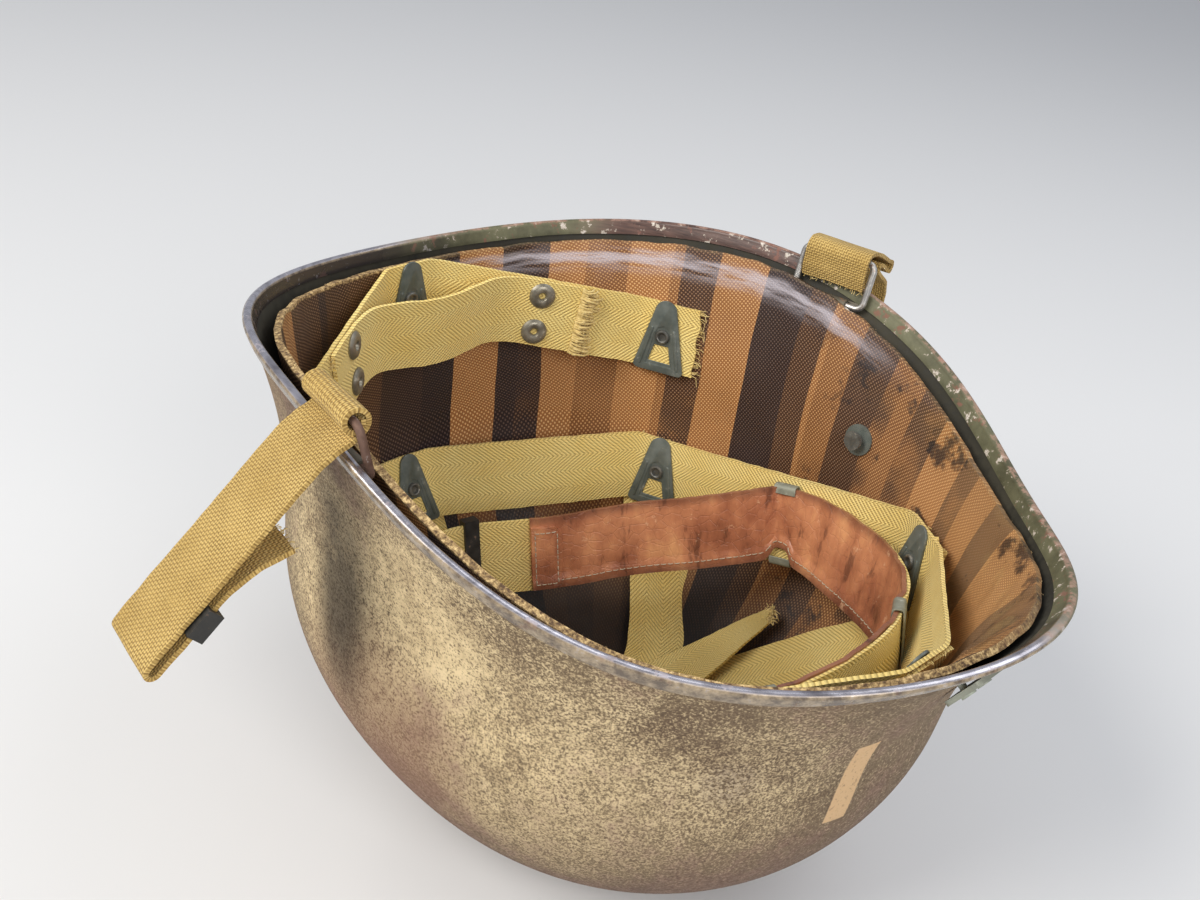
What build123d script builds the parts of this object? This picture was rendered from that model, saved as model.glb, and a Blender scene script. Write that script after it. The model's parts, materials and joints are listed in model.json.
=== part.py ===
from build123d import *
import math
import os

# Steel pot helmet with its fibre liner, standing open side up on the flat of its crown.
# Origin at the rest point of the crown, X to the visor, Y to the wearer's right, Z up to the open side.
# All lengths in millimetres.

# Steel shell
HELMET_HEIGHT = 180.0
HALF_LENGTH = 142.3
SHELL_WALL = 1.1
BOWL_FRONT = 115.0
BOWL_REAR = 134.0
BOWL_SIDE = 105.0
BOWL_DEPTH = 96.0
BOWL_POWER = 2.1
CROWN_SAG = 0.6
FLARE_DEPTH = 66.0
TOP_MARGIN = 9.0
# Rim stations every thirty degrees from the visor to the nape
RIM_REACH_SHARES = (1.016, 0.925, 0.868, 0.844, 0.880, 0.968, 0.984)
RIM_HEIGHT_SHARES = (0.853, 0.818, 0.856, 0.967, 0.999, 0.957, 0.928)
LEVEL_SHARES = (0.0, 0.016, 0.05, 0.105, 0.18, 0.275, 0.385, 0.5, 0.6, 0.69, 0.77, 0.84, 0.91, 1.0)
SECTION_POINTS = 24

# Rim band folded over the raw edge of the shell
BAND_WALL = 0.7
BAND_FIT = 0.35
BAND_DEPTH = 4.0

# Liner shell
LINER_WALL = 2.2
LINER_GAP = 2.5
LINER_FRONT_GAP = 3.6
LINER_SIDE_GAP = 6.5
LINER_REAR_GAP = 6.4
LINER_DROP = 4.0

# Webbing, leather and the riveted washers
WEB_WALL = 1.4
NECK_BAND_TALL = 28.0
HEAD_BAND_TALL = 29.0
LEG_WIDE = 27.0
LEG_TOP = 17.0
LEG_STAND = 0.5
LEG_SHARES = (0.72, 0.54, 0.38, 0.25, 0.14, 0.07)
HEAD_STAND = 3.0
NECK_STAND = 1.1
WASHER_WALL = 1.0
WASHER_TALL = 30.0
WASHER_WIDE = 21.0
WASHER_TOP_R = 4.6
WASHER_CORNER_R = 1.8
WINDOW_TALL = 7.0
WINDOW_LOW_WIDE = 9.4
WINDOW_HIGH_WIDE = 6.0
WINDOW_LIFT = 4.2
SEGMENT_HALF = 11.0
RIVET_R = 1.7
RIVET_HEAD_R = 3.0
RIVET_HEAD_TALL = 1.0
RIVET_BACK_R = 3.6
RIVET_BACK_TALL = 0.8
RIVET_BACK_FIT = 0.15
HEAD_TURNS = (0.0, 50.0, 125.0, 180.0, 235.0, 310.0)
NECK_TURNS = (129.0, 180.0, 231.0)
HEAD_LEVEL = 92.0
HEAD_TILT_SHARE = 0.2
NECK_DROP = 40.3
NECK_REAR_DROP = 17.0
NECK_TAIL = 3.0

# Nape strap and its snaps
NAPE_TALL = 27.0
NAPE_END = 34.0
NAPE_STAND = 0.5
NAPE_BULGE = -5.0
SNAP_CAP_R = 5.2
SNAP_CAP_TALL = 1.8
SNAP_POST_R = 1.6
SNAP_BACK_R = 4.4
SNAP_BACK_TALL = 0.9
SNAP_PITCH = 15.0

# Sweatband
SWEAT_TALL = 30.0
SWEAT_WALL = 1.5
SWEAT_WEB_WALL = 1.2
SWEAT_WEB_TALL = 27.0
SWEAT_LEVEL = 83.0
# Rear run of the sweatband, as shares of the bowl's rear reach and side reach
SWEAT_REAR_SHARES = ((-0.096, 0.644), (-0.319, 0.285), (-0.446, 0.041), (-0.51, -0.23), (-0.382, -0.529), (-0.149, -0.691))
# Front of the sweatband and its free corners, as shares of the bowl's front reach and side reach
SWEAT_FRONT_SHARE = 0.8352
SWEAT_CORNER_SHARES = (0.4455, 0.6302)
SWEAT_SAMPLES = 72
LEATHER_GAP = 46.0
BUCKLE_SAMPLE = 56
FREE_CLIP_SAMPLES = (62, 68)
CLIP_WALL = 0.6
CLIP_FIT = 0.2
CLIP_WIDE = 9.0
CLIP_TALL = 12.0
CLIP_LIP = 4.0
BUCKLE_WIRE = 1.6
BUCKLE_GAP = 0.35
BUCKLE_LONG = 6.0

# Chinstrap studs of the liner
STUD_TURN = 78.5
STUD_LEVEL = 128.0
STUD_R = 2.4
STUD_HEAD_R = 3.6
STUD_HEAD_TALL = 1.2
STUD_NECK_TALL = 2.6
STUD_WASHER_R = 6.0
STUD_WASHER_WALL = 0.7
STUD_STAND = 0.3

# Bales: wire loops turning in brackets inside the rim
BALE_X = -15.0
WIRE_R = 1.25
BALE_OPENING = 26.6
BALE_REACH = 17.7
BALE_LEAN = 15.0
BALE_CORNER = 3.0
HINGE_FIT = 0.06
HINGE_CLEAR = 0.66
HINGE_DROP = 7.4
BARREL_WALL = 0.9
BARREL_LONG = 16.0
PAD_LONG = 24.0
PAD_TALL = 9.0
PAD_WALL = 0.9
PAD_REACH = 12.0

# Chinstraps
STRAP_WIDE = 25.4
STRAP_WALL = 1.6
STRAP_FIT = 0.35
STRAP_LEAN = 43.0
STRAP_LONG = 84.0
STRAP_TAIL = 48.0
TAIL_SHARES = ((0, 0), (0.2, 0), (0.4, 0), (0.6, 0), (0.8, 0.35), (1, 1))
STRAP_TAIL_OPEN = 9.0
RIGHT_DROP = 96.0
RIGHT_OUT = 24.0
RIGHT_CURL_SHARES = ((0.06, 0.07), (0.3, 0.13), (0.62, 0.09), (0.87, -0.1), (0.98, -0.45), (1.0, -1.0))
STRAP_SEWN = 14.0
STRAP_FOLD_R = 1.2
BUCKLE_BAR = 1.5
BUCKLE_RUN = 9.0
BUCKLE_PLACE = 18.0
HOOK_REACH = 8.0
HOOK_TALL = 11.0
HOOK_LIP = 6.0
HOOK_WIDE = 13.0
HOOK_WALL = 1.6

# Front plate with its two posts
PLATE_LEVEL = 131.0
PLATE_WIDE = 15.0
PLATE_TALL = 15.0
PLATE_WALL = 0.8
PLATE_EDGE = 1.6
PLATE_STAND = 2.4
PLATE_CORNER = 2.5
POST_R = 1.2
POST_SPREAD = 4.2
POST_HEAD_R = 2.4
POST_HEAD_TALL = 0.7
POST_BACK = 1.6

FULL_TURN = 360.0
HALF_TURN = 180.0


def station_terms(values):
    """Cosine terms of the smooth even curve through stations spaced evenly over half a turn."""
    last = len(values) - 1
    terms = []
    for order in range(last + 1):
        total = 0
        for index, value in enumerate(values):
            share = 0.5 if index in (0, last) else 1
            total += share * value * math.cos(math.pi * order * index / last)
        terms.append(total / last if order in (0, last) else 2 * total / last)
    return terms


def terms_at(terms, turn):
    angle = math.radians(turn)
    return sum(term * math.cos(order * angle) for order, term in enumerate(terms))


REACH_TERMS = station_terms([share * HALF_LENGTH for share in RIM_REACH_SHARES])
HEIGHT_TERMS = station_terms([share * HELMET_HEIGHT for share in RIM_HEIGHT_SHARES])
LINER_GAPS = (LINER_FRONT_GAP, LINER_FRONT_GAP, LINER_SIDE_GAP, LINER_SIDE_GAP, LINER_SIDE_GAP,
              LINER_REAR_GAP, LINER_REAR_GAP)
GAP_TERMS = station_terms(LINER_GAPS)


def rim_reach(turn):
    return terms_at(REACH_TERMS, turn)


def rim_height(turn):
    return terms_at(HEIGHT_TERMS, turn)


class Skin:
    """A bowl surface: inset is the way in from the shell's outside, floor the height of its crown."""

    def __init__(self, inset, floor, rim_inset=None):
        self.inset = inset
        self.floor = floor
        self.rim_inset = rim_inset or (lambda turn: inset)

    def plan(self, turn):
        angle = math.radians(turn)
        reach = BOWL_FRONT if math.cos(angle) > 0 else BOWL_REAR
        along = abs(math.cos(angle)) / (reach - self.inset)
        across = abs(math.sin(angle)) / (BOWL_SIDE - self.inset)
        return (along ** BOWL_POWER + across ** BOWL_POWER) ** (-1 / BOWL_POWER)

    def radius(self, turn, height):
        depth = BOWL_DEPTH - self.floor + CROWN_SAG
        lack = max(0, 1 - (height - self.floor + CROWN_SAG) / depth)
        swell = (1 - lack ** BOWL_POWER) ** (1 / BOWL_POWER)
        below = (rim_height(turn) - height) / FLARE_DEPTH
        if below > 1:
            flare = 0
        elif below > 0:
            flare = (1 - below) ** 2
        else:
            flare = 1 - 2 * below
        spread = rim_reach(turn) - self.rim_inset(turn) - self.plan(turn)
        return self.plan(turn) * swell + spread * flare

    def point(self, turn, height):
        angle = math.radians(turn)
        reach = self.radius(turn, height)
        return Vector(reach * math.cos(angle), reach * math.sin(angle), height)

    def plane(self, turn, height):
        """Plane on the skin: x runs level, y climbs the wall, z points into the bowl."""
        step = BOWL_DEPTH / 200
        climb = (self.point(turn, height + step) - self.point(turn, height - step)).normalized()
        level = (self.point(turn - 1, height) - self.point(turn + 1, height)).normalized()
        inward = level.cross(climb).normalized()
        return Plane(origin=self.point(turn, height), x_dir=level, z_dir=inward)

    def section(self, height):
        step = FULL_TURN / SECTION_POINTS
        points = [self.point(step * count, height) for count in range(SECTION_POINTS)]
        marks = [count / SECTION_POINTS for count in range(SECTION_POINTS + 1)]
        return make_face(Edge.make_spline(points, periodic=True, parameters=marks))

    def solid(self):
        """The filled bowl from its crown to above the rim."""
        bottom = self.floor
        top = HELMET_HEIGHT + TOP_MARGIN
        return loft([self.section(bottom + share * (top - bottom)) for share in LEVEL_SHARES])


OUTER = Skin(0, 0)
INNER = Skin(SHELL_WALL, SHELL_WALL)
LINER_OUTER = Skin(SHELL_WALL + LINER_GAP, SHELL_WALL, lambda turn: SHELL_WALL + terms_at(GAP_TERMS, turn))
LINER_INNER = Skin(SHELL_WALL + LINER_GAP + LINER_WALL, SHELL_WALL + LINER_WALL,
                   lambda turn: SHELL_WALL + LINER_WALL + terms_at(GAP_TERMS, turn))


def run_out(end, before):
    """Place beyond the end of a run of places, on the line of its last step."""
    return (2 * end[0] - before[0], 2 * end[1] - before[1])


def above_rim(shift):
    """Everything higher than the rim line moved up by shift, as seen from the side."""
    step = FULL_TURN / SECTION_POINTS
    count = SECTION_POINTS // 2
    places = [(rim_reach(step * k) * math.cos(math.radians(step * k)), rim_height(step * k) + shift)
              for k in range(count + 1)]
    high = HELMET_HEIGHT * 1.5
    far = HALF_LENGTH * 1.5
    first = run_out(places[0], places[1])
    last = run_out(places[-1], places[-2])
    curve = Spline(first, *places, last)
    ends = Polyline(last, (-far, last[1]), (-far, high), (far, high), (far, first[1]), first)
    profile = Plane.XZ * make_face(curve + ends)
    return extrude(profile, HALF_LENGTH, both=True)


def band_section(turn):
    """Folded section of the rim band in the upright plane through the axis."""
    high = rim_height(turn)
    low = high - BAND_DEPTH
    gap = BAND_FIT
    thick = gap + BAND_WALL
    crest = high + thick
    outside = [(OUTER.radius(turn, low) + thick, low), (OUTER.radius(turn, high) + thick, high),
               (OUTER.radius(turn, high) + gap, crest)]
    inside = [(INNER.radius(turn, high) - gap, crest), (INNER.radius(turn, high) - thick, high),
              (INNER.radius(turn, low) - thick, low)]
    lining = [(INNER.radius(turn, low) - gap, low), (INNER.radius(turn, high) - gap, high + gap),
              (OUTER.radius(turn, high) + gap, high + gap), (OUTER.radius(turn, low) + gap, low)]
    angle = math.radians(turn)
    points = [Vector(reach * math.cos(angle), reach * math.sin(angle), height)
              for reach, height in outside + inside + lining]
    return Polyline(*points, close=True)


def make_rim_band():
    """Strip folded over the rim, lofted over the right half and mirrored."""
    step = FULL_TURN / SECTION_POINTS
    sections = [band_section(step * count) for count in range(SECTION_POINTS // 2 + 1)]
    half = Solid.make_loft([section.wire() for section in sections])
    return Part() + half + mirror(half, Plane.XZ)


def head_height(turn):
    """Height of the head band at a turn, found on its tilted plane."""
    height = HEAD_LEVEL
    for _ in range(8):
        height = HEAD_LEVEL + HEAD_TILT_SHARE * LINER_INNER.point(turn, height).X
    return height


def neck_height(turn):
    return rim_height(turn) - (NECK_REAR_DROP if turn == HALF_TURN else NECK_DROP)


def washer_body():
    low = -WASHER_TALL / 2 + WASHER_CORNER_R
    wide = WASHER_WIDE / 2 - WASHER_CORNER_R
    high = WASHER_TALL / 2 - WASHER_TOP_R
    round_ends = (Pos(-wide, low) * Circle(WASHER_CORNER_R)
                  + Pos(wide, low) * Circle(WASHER_CORNER_R)
                  + Pos(0, high) * Circle(WASHER_TOP_R))
    window_low = -WASHER_TALL / 2 + WINDOW_LIFT
    window_high = window_low + WINDOW_TALL
    window = Polygon((-WINDOW_LOW_WIDE / 2, window_low), (WINDOW_LOW_WIDE / 2, window_low),
                     (WINDOW_HIGH_WIDE / 2, window_high), (-WINDOW_HIGH_WIDE / 2, window_high), align=None)
    return extrude(make_hull(round_ends.edges()) - window, WASHER_WALL)


def rivet_body(front, back):
    """Rivet along z: closed head beyond front, shank through, flat back beyond minus back."""
    shank = Pos(0, 0, -back) * Cylinder(RIVET_R, front + back, align=(Align.CENTER, Align.CENTER, Align.MIN))
    head = Pos(0, 0, front) * Cylinder(RIVET_HEAD_R, RIVET_HEAD_TALL,
                                       align=(Align.CENTER, Align.CENTER, Align.MIN))
    tail = Pos(0, 0, -back - RIVET_BACK_TALL) * Cylinder(RIVET_BACK_R, RIVET_BACK_TALL,
                                                         align=(Align.CENTER, Align.CENTER, Align.MIN))
    return shank + head + tail


def liner_hole(plane, radius):
    """Straight hole right through the liner's wall, for a shank on that plane."""
    return plane * Cylinder(radius, 2 * (LINER_WALL + LINER_WALL))


def quad(plane, x, half_tall, near, far):
    corners = [(x, -half_tall, near), (x, half_tall, near), (x, half_tall, far), (x, -half_tall, far)]
    return Polyline(*[plane.from_local_coords(corner) for corner in corners], close=True)


def slab(ends):
    """Ruled solid between two four-cornered ends."""
    return Solid.make_loft([end.wire() for end in ends], ruled=True)


def band_between(planes, half_tall, near, closed, tail=0):
    """Flat webbing over the washer planes in turn, in straight chords between them."""
    pieces = []
    last = len(planes) - 1
    for index, plane in enumerate(planes):
        low = SEGMENT_HALF + (tail if not closed and index == 0 else 0)
        high = SEGMENT_HALF + (tail if not closed and index == last else 0)
        pieces.append(slab([quad(plane, low, half_tall, near, near + WEB_WALL),
                            quad(plane, -high, half_tall, near, near + WEB_WALL)]))
        if index < last or closed:
            following = planes[(index + 1) % len(planes)]
            pieces.append(slab([quad(plane, -high, half_tall, near, near + WEB_WALL),
                                quad(following, SEGMENT_HALF, half_tall, near, near + WEB_WALL)]))
    band = pieces[0]
    for piece in pieces[1:]:
        band = band + piece
    return band


def reach_along(skin, foot, out, height):
    """How far from foot, going level along out, the skin lies at a height."""
    low = 0
    high = HALF_LENGTH * 2
    for _ in range(40):
        middle = (low + high) / 2
        place = foot + out * middle
        turn = math.degrees(math.atan2(place.Y, place.X))
        if math.hypot(place.X, place.Y) < skin.radius(turn, height):
            low = middle
        else:
            high = middle
    return low


def make_leg(turn):
    """Crown leg: flat behind its washer, then lying down along the liner to a frayed end."""
    plane = LINER_INNER.plane(turn, head_height(turn))
    out = Vector(-plane.z_dir.X, -plane.z_dir.Y, 0).normalized()
    foot = plane.origin - out * plane.origin.dot(out)
    foot = Vector(foot.X, foot.Y, 0)
    top = plane.from_local_coords((0, LEG_TOP, HEAD_STAND))
    low = plane.from_local_coords((0, -WASHER_TALL / 2, HEAD_STAND))
    path = [((top - foot).dot(out), top.Z), ((low - foot).dot(out), low.Z)]
    floor = LINER_INNER.floor
    for share in LEG_SHARES:
        height = floor + (low.Z - floor) * share
        reach = reach_along(LINER_INNER, foot, out, height)
        step = CROWN_SAG
        slope = Vector(2 * step, reach_along(LINER_INNER, foot, out, height - step)
                       - reach_along(LINER_INNER, foot, out, height + step)).normalized()
        stand = LEG_STAND + LEG_WIDE ** 2 / (8 * reach)
        path.append((reach - stand * slope.X, height - stand * slope.Y))
    inner = [(place[0] - shift[0], place[1] - shift[1]) for place, shift in zip(path, side_steps(path, WEB_WALL))]
    outline = make_face(Polyline(*path, *reversed(inner), close=True))
    cut = Plane(origin=foot, x_dir=out, z_dir=out.cross(Vector(0, 0, 1)))
    return extrude(cut * outline, LEG_WIDE / 2, both=True)


def side_steps(path, reach):
    """Steps square to a flat path, to the left of its run, each reach long."""
    steps = []
    last = len(path) - 1
    for index in range(last + 1):
        before = path[max(index - 1, 0)]
        after = path[min(index + 1, last)]
        run = Vector(after[0] - before[0], after[1] - before[1]).normalized()
        steps.append((-run.Y * reach, run.X * reach))
    return steps


def side_planes(first, second, near):
    """Plane on the inner face of the webbing halfway between two washers, y up, z into the bowl."""
    start = first.from_local_coords((-SEGMENT_HALF, 0, near))
    stop = second.from_local_coords((SEGMENT_HALF, 0, near))
    run = (start - stop).normalized()
    inward = run.cross(first.y_dir + second.y_dir).normalized()
    return Plane(origin=(start + stop) * 0.5, x_dir=run, z_dir=inward)


def upright(radius, tall, place=(0, 0, 0)):
    return Pos(*place) * Cylinder(radius, tall, align=(Align.CENTER, Align.CENTER, Align.MIN))


def make_snap(plane, lift):
    """Snap cap on the strap, its post, and the flat back behind the neck band."""
    front = NAPE_STAND + WEB_WALL
    post = upright(SNAP_POST_R, front + WEB_WALL, (0, lift, -WEB_WALL))
    cap = upright(SNAP_CAP_R, SNAP_CAP_TALL, (0, lift, front))
    cap = fillet(cap.edges().sort_by(Axis.Z)[-1:], SNAP_CAP_TALL / 2)
    back = upright(SNAP_BACK_R, SNAP_BACK_TALL, (0, lift, -WEB_WALL - SNAP_BACK_TALL))
    return plane * (post + cap + back)


def make_nape_strap(right, left):
    """Strap snapped to both chords of the neck band, bulging a little into the bowl."""
    half = NAPE_TALL / 2
    near = NAPE_STAND
    far = near + WEB_WALL
    middle = (right.origin + left.origin) * 0.5 + Vector(NAPE_BULGE, 0, 0)
    bulge = Plane(origin=middle, x_dir=Vector(0, -1, 0), z_dir=Vector(1, 0, 0))
    ends = [quad(right, NAPE_END / 2, half, near, far), quad(right, -NAPE_END / 2, half, near, far),
            quad(bulge, 0, half, near, far), quad(left, NAPE_END / 2, half, near, far),
            quad(left, -NAPE_END / 2, half, near, far)]
    strap = slab(ends[:2])
    for start, stop in zip(ends[1:], ends[2:]):
        strap = strap + slab([start, stop])
    return strap


SWEAT_PLANE = Plane(origin=(0, 0, SWEAT_LEVEL), x_dir=(1, 0, HEAD_TILT_SHARE), z_dir=(-HEAD_TILT_SHARE, 0, 1))


def sweat_samples(anchors):
    """Evenly spaced places round the sweatband, on its own tilted plane, from the rear right."""
    held = []
    for anchor in anchors:
        stand = CLIP_WALL + 2 * CLIP_FIT + SWEAT_WEB_WALL
        place = SWEAT_PLANE.to_local_coords(anchor.from_local_coords((0, -HEAD_BAND_TALL / 2, stand)))
        held.append((place.X, place.Y))
    corner = (SWEAT_CORNER_SHARES[0] * BOWL_FRONT, SWEAT_CORNER_SHARES[1] * BOWL_SIDE)
    front = [held[0], (corner[0], -corner[1]), held[1], (SWEAT_FRONT_SHARE * BOWL_FRONT, 0), held[2], corner,
             held[3]]
    rear = [(along * BOWL_REAR, across * BOWL_SIDE) for along, across in SWEAT_REAR_SHARES]
    curve = Spline(*front, *rear, periodic=True)
    return [curve.position_at(count / SWEAT_SAMPLES) for count in range(SWEAT_SAMPLES)]


def shifted(samples, reach):
    """Closed samples moved outward by reach."""
    moved = []
    count = len(samples)
    for index, place in enumerate(samples):
        run = (samples[(index + 1) % count] - samples[index - 1]).normalized()
        moved.append(Vector(place.X + run.Y * reach, place.Y - run.X * reach))
    return moved


def closed_strip(samples, near, far, tall):
    ring = make_face(Spline(*shifted(samples, far), periodic=True))
    ring = ring - make_face(Spline(*shifted(samples, near), periodic=True))
    return SWEAT_PLANE * (Pos(0, 0, -tall / 2) * extrude(ring, tall))


def leather_strip(samples):
    """Leather along the inside of the webbing, open at the buckle."""
    gap = sweat_frame(samples, BUCKLE_SAMPLE) * Box(LEATHER_GAP / 2, SWEAT_TALL * 2, LEATHER_GAP)
    return closed_strip(samples, -SWEAT_WALL, 0, SWEAT_TALL) - gap


def sweat_frame(samples, index):
    """Plane at a sample: x outward, y up the band, z along the run."""
    count = len(samples)
    run = (samples[(index + 1) % count] - samples[(index - 1) % count]).normalized()
    out = Vector(run.Y, -run.X)
    place = SWEAT_PLANE.from_local_coords(samples[index])
    level = SWEAT_PLANE.from_local_coords(samples[index] + out) - place
    along = SWEAT_PLANE.from_local_coords(samples[index] + run) - place
    return Plane(origin=place, x_dir=level, z_dir=along)


def clip_body():
    """Hook of sheet metal under the lower edge: x outward, y up, z along."""
    bottom = -SWEAT_TALL / 2
    low = bottom - CLIP_FIT
    web_side = SWEAT_WEB_WALL + CLIP_FIT
    far = web_side + CLIP_WALL
    leather_side = -SWEAT_WALL - CLIP_FIT
    near = leather_side - CLIP_WALL
    outline = Polygon((far, bottom + CLIP_TALL), (far, low - CLIP_WALL), (near, low - CLIP_WALL),
                      (near, bottom + CLIP_LIP), (leather_side, bottom + CLIP_LIP), (leather_side, low),
                      (web_side, low), (web_side, bottom + CLIP_TALL), align=None)
    return extrude(outline, CLIP_WIDE / 2, both=True)


def sweat_buckle_body():
    wide = SWEAT_WEB_WALL + 2 * BUCKLE_WIRE
    tall = SWEAT_WEB_TALL + 2 * (BUCKLE_WIRE + BUCKLE_GAP)
    frame = Box(wide, tall, BUCKLE_LONG)
    frame = frame - Box(SWEAT_WEB_WALL, tall - 2 * BUCKLE_WIRE, BUCKLE_LONG * 2)
    return Pos(SWEAT_WEB_WALL / 2, 0, 0) * frame


def side_turn(reach_at, x):
    """Turn at which a curve on the right side, given by its reach, passes over x."""
    turn = FULL_TURN / 4
    for _ in range(12):
        turn = math.degrees(math.acos(x / reach_at(turn)))
    return turn


def side_y(skin, x, height):
    turn = side_turn(lambda place: skin.radius(place, height), x)
    return skin.point(turn, height).Y


BARREL_R = WIRE_R + HINGE_FIT + BARREL_WALL
HINGE_Z = rim_height(side_turn(rim_reach, BALE_X)) - HINGE_DROP
SIDE_FRONT = Vector(BALE_X + BALE_OPENING / 2, side_y(INNER, BALE_X + BALE_OPENING / 2, HINGE_Z))
SIDE_BACK = Vector(BALE_X - BALE_OPENING / 2, side_y(INNER, BALE_X - BALE_OPENING / 2, HINGE_Z))
SIDE_RUN = (SIDE_FRONT - SIDE_BACK).normalized()
SIDE_OUT = Vector(-SIDE_RUN.Y, SIDE_RUN.X)
HINGE_IN = BARREL_R + HINGE_CLEAR
HINGE = Vector(BALE_X, side_y(INNER, BALE_X, HINGE_Z), HINGE_Z) - SIDE_OUT * HINGE_IN
# Frame of the right hinge: x along the hinge to the front, y out of the helmet, z up
SIDE = Plane(origin=HINGE, x_dir=SIDE_RUN, z_dir=(0, 0, 1))
BAR_Y = BALE_REACH * math.sin(math.radians(BALE_LEAN))
BAR_Z = BALE_REACH * math.cos(math.radians(BALE_LEAN))


def along_x(radius, length):
    return Rot(0, 90, 0) * Cylinder(radius, length)


def make_bracket(inner, pad_skin, placed):
    """Pad welded inside the wall with the barrel that the bale turns in, moved to its side by placed."""
    block = placed(SIDE * (Pos(0, 0, WIRE_R - PAD_TALL / 2) * Box(PAD_LONG, PAD_REACH * 2, PAD_TALL)))
    pad = (block & inner) - pad_skin
    barrel = placed(SIDE * along_x(BARREL_R, BARREL_LONG)) & inner
    return pad + barrel - placed(SIDE * along_x(WIRE_R + HINGE_FIT, BARREL_LONG * 2))


def wire_loop(frame, half, reach, corner):
    """Closed round wire: one bar on the frame's x axis, the other at reach along its y axis."""
    path = FilletPolyline((-half, 0), (half, 0), (half, reach), (-half, reach), radius=corner, close=True)
    placed = frame * path
    start = placed.edges()[0]
    cut = Plane(origin=start.position_at(0), z_dir=start.tangent_at(0))
    return sweep(cut * Circle(WIRE_R), path=placed.wire())


def make_bale():
    """Wire loop on the right side: hinge bar below, strap bar above."""
    frame = Plane(origin=(0, 0, 0), x_dir=(1, 0, 0), z_dir=(0, -BAR_Z, BAR_Y))
    return SIDE * wire_loop(frame, BALE_OPENING / 2 + WIRE_R, BALE_REACH, BALE_CORNER)


def strip_outline(path, near, far):
    """Flat outline between two offsets of an open path, smooth along its length."""
    low = [(place[0] + step[0], place[1] + step[1]) for place, step in zip(path, side_steps(path, near))]
    high = [(place[0] + step[0], place[1] + step[1]) for place, step in zip(path, side_steps(path, far))]
    return make_face(Spline(*low) + Spline(*high) + Line(low[0], high[0]) + Line(low[-1], high[-1]))


RING_R = WIRE_R + STRAP_FIT
RING_OUT = RING_R + STRAP_WALL


LEAN = math.radians(STRAP_LEAN)
# Plane of the leaning strap: x along the strap, y to its upper side
LEANING = Plane(origin=(0, BAR_Y, BAR_Z), x_dir=(0, math.sin(LEAN), -math.cos(LEAN)), z_dir=(1, 0, 0))
HANGING = Plane(origin=(0, BAR_Y, BAR_Z), x_dir=(0, 1, 0), z_dir=(1, 0, 0))


def ring_outline():
    return Circle(RING_OUT) - Circle(RING_R)


def make_left_strap():
    """Left chinstrap drawn on the right: sewn round its bar, down to the fold, and back underneath."""
    sewn = Pos(RING_R, 0) * Rectangle(STRAP_SEWN, 2 * STRAP_WALL, align=(Align.MIN, Align.CENTER))
    main = Pos(RING_R, -STRAP_WALL) * Rectangle(STRAP_LONG - RING_R, STRAP_WALL, align=(Align.MIN, Align.MIN))
    turn_r = STRAP_WALL + STRAP_FOLD_R
    fold = Pos(STRAP_LONG, -turn_r) * (Circle(turn_r) - Circle(STRAP_FOLD_R))
    fold = fold & (Pos(STRAP_LONG, -turn_r) * Rectangle(turn_r, 2 * turn_r, align=(Align.MIN, Align.CENTER)))
    under = -turn_r - STRAP_FOLD_R
    tail_path = [(STRAP_LONG - share * STRAP_TAIL, under - drop * STRAP_TAIL_OPEN) for share, drop in TAIL_SHARES]
    tail = strip_outline(tail_path, 0, STRAP_WALL)
    outline = ring_outline() + (sewn + main - Circle(RING_R)) + fold + tail
    return SIDE * extrude(LEANING * outline, STRAP_WIDE / 2, both=True)


def make_right_strap():
    """Right chinstrap: sewn round its bar, over the rim in a curl, and hanging to the loop of its hook."""
    path = [(along * RIGHT_OUT, up * RIGHT_OUT) for along, up in RIGHT_CURL_SHARES]
    path = path + [(RIGHT_OUT, -RIGHT_DROP / 2), (RIGHT_OUT, -RIGHT_DROP)]
    strip = strip_outline(path, 0, -STRAP_WALL) - Circle(RING_R)
    end = Pos(RIGHT_OUT - STRAP_WALL / 2, HOOK_BAR_DROP) * ring_outline()
    return SIDE * extrude(HANGING * (ring_outline() + strip + end), STRAP_WIDE / 2, both=True)


HOOK_BAR_DROP = -RIGHT_DROP - RING_R - STRAP_WALL / 2
HOOK_Y = BAR_Y + RIGHT_OUT - STRAP_WALL / 2
HOOK_Z = BAR_Z + HOOK_BAR_DROP


def make_hook():
    """End hook of the right strap: wire loop through the strap and a flat hook bent up under it."""
    frame = Plane(origin=(0, HOOK_Y, HOOK_Z), x_dir=(1, 0, 0), z_dir=(0, 1, 0))
    loop = wire_loop(frame, BALE_OPENING / 2 + WIRE_R, HOOK_REACH, BALE_CORNER)
    side = Plane(origin=(0, HOOK_Y, HOOK_Z - HOOK_REACH), x_dir=(0, 1, 0), z_dir=(1, 0, 0))
    half = HOOK_WALL / 2
    path = [(0, 0), (0, -HOOK_TALL / 2), (HOOK_LIP / 4, -HOOK_TALL), (HOOK_LIP, -HOOK_TALL), (HOOK_LIP, -HOOK_TALL / 2)]
    outline = make_face(Polyline(*[(place[0] + step[0], place[1] + step[1])
                                   for place, step in zip(path, side_steps(path, half))],
                                 *reversed([(place[0] + step[0], place[1] + step[1])
                                            for place, step in zip(path, side_steps(path, -half))]), close=True))
    return SIDE * (loop + extrude(side * outline, HOOK_WIDE / 2, both=True))


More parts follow.
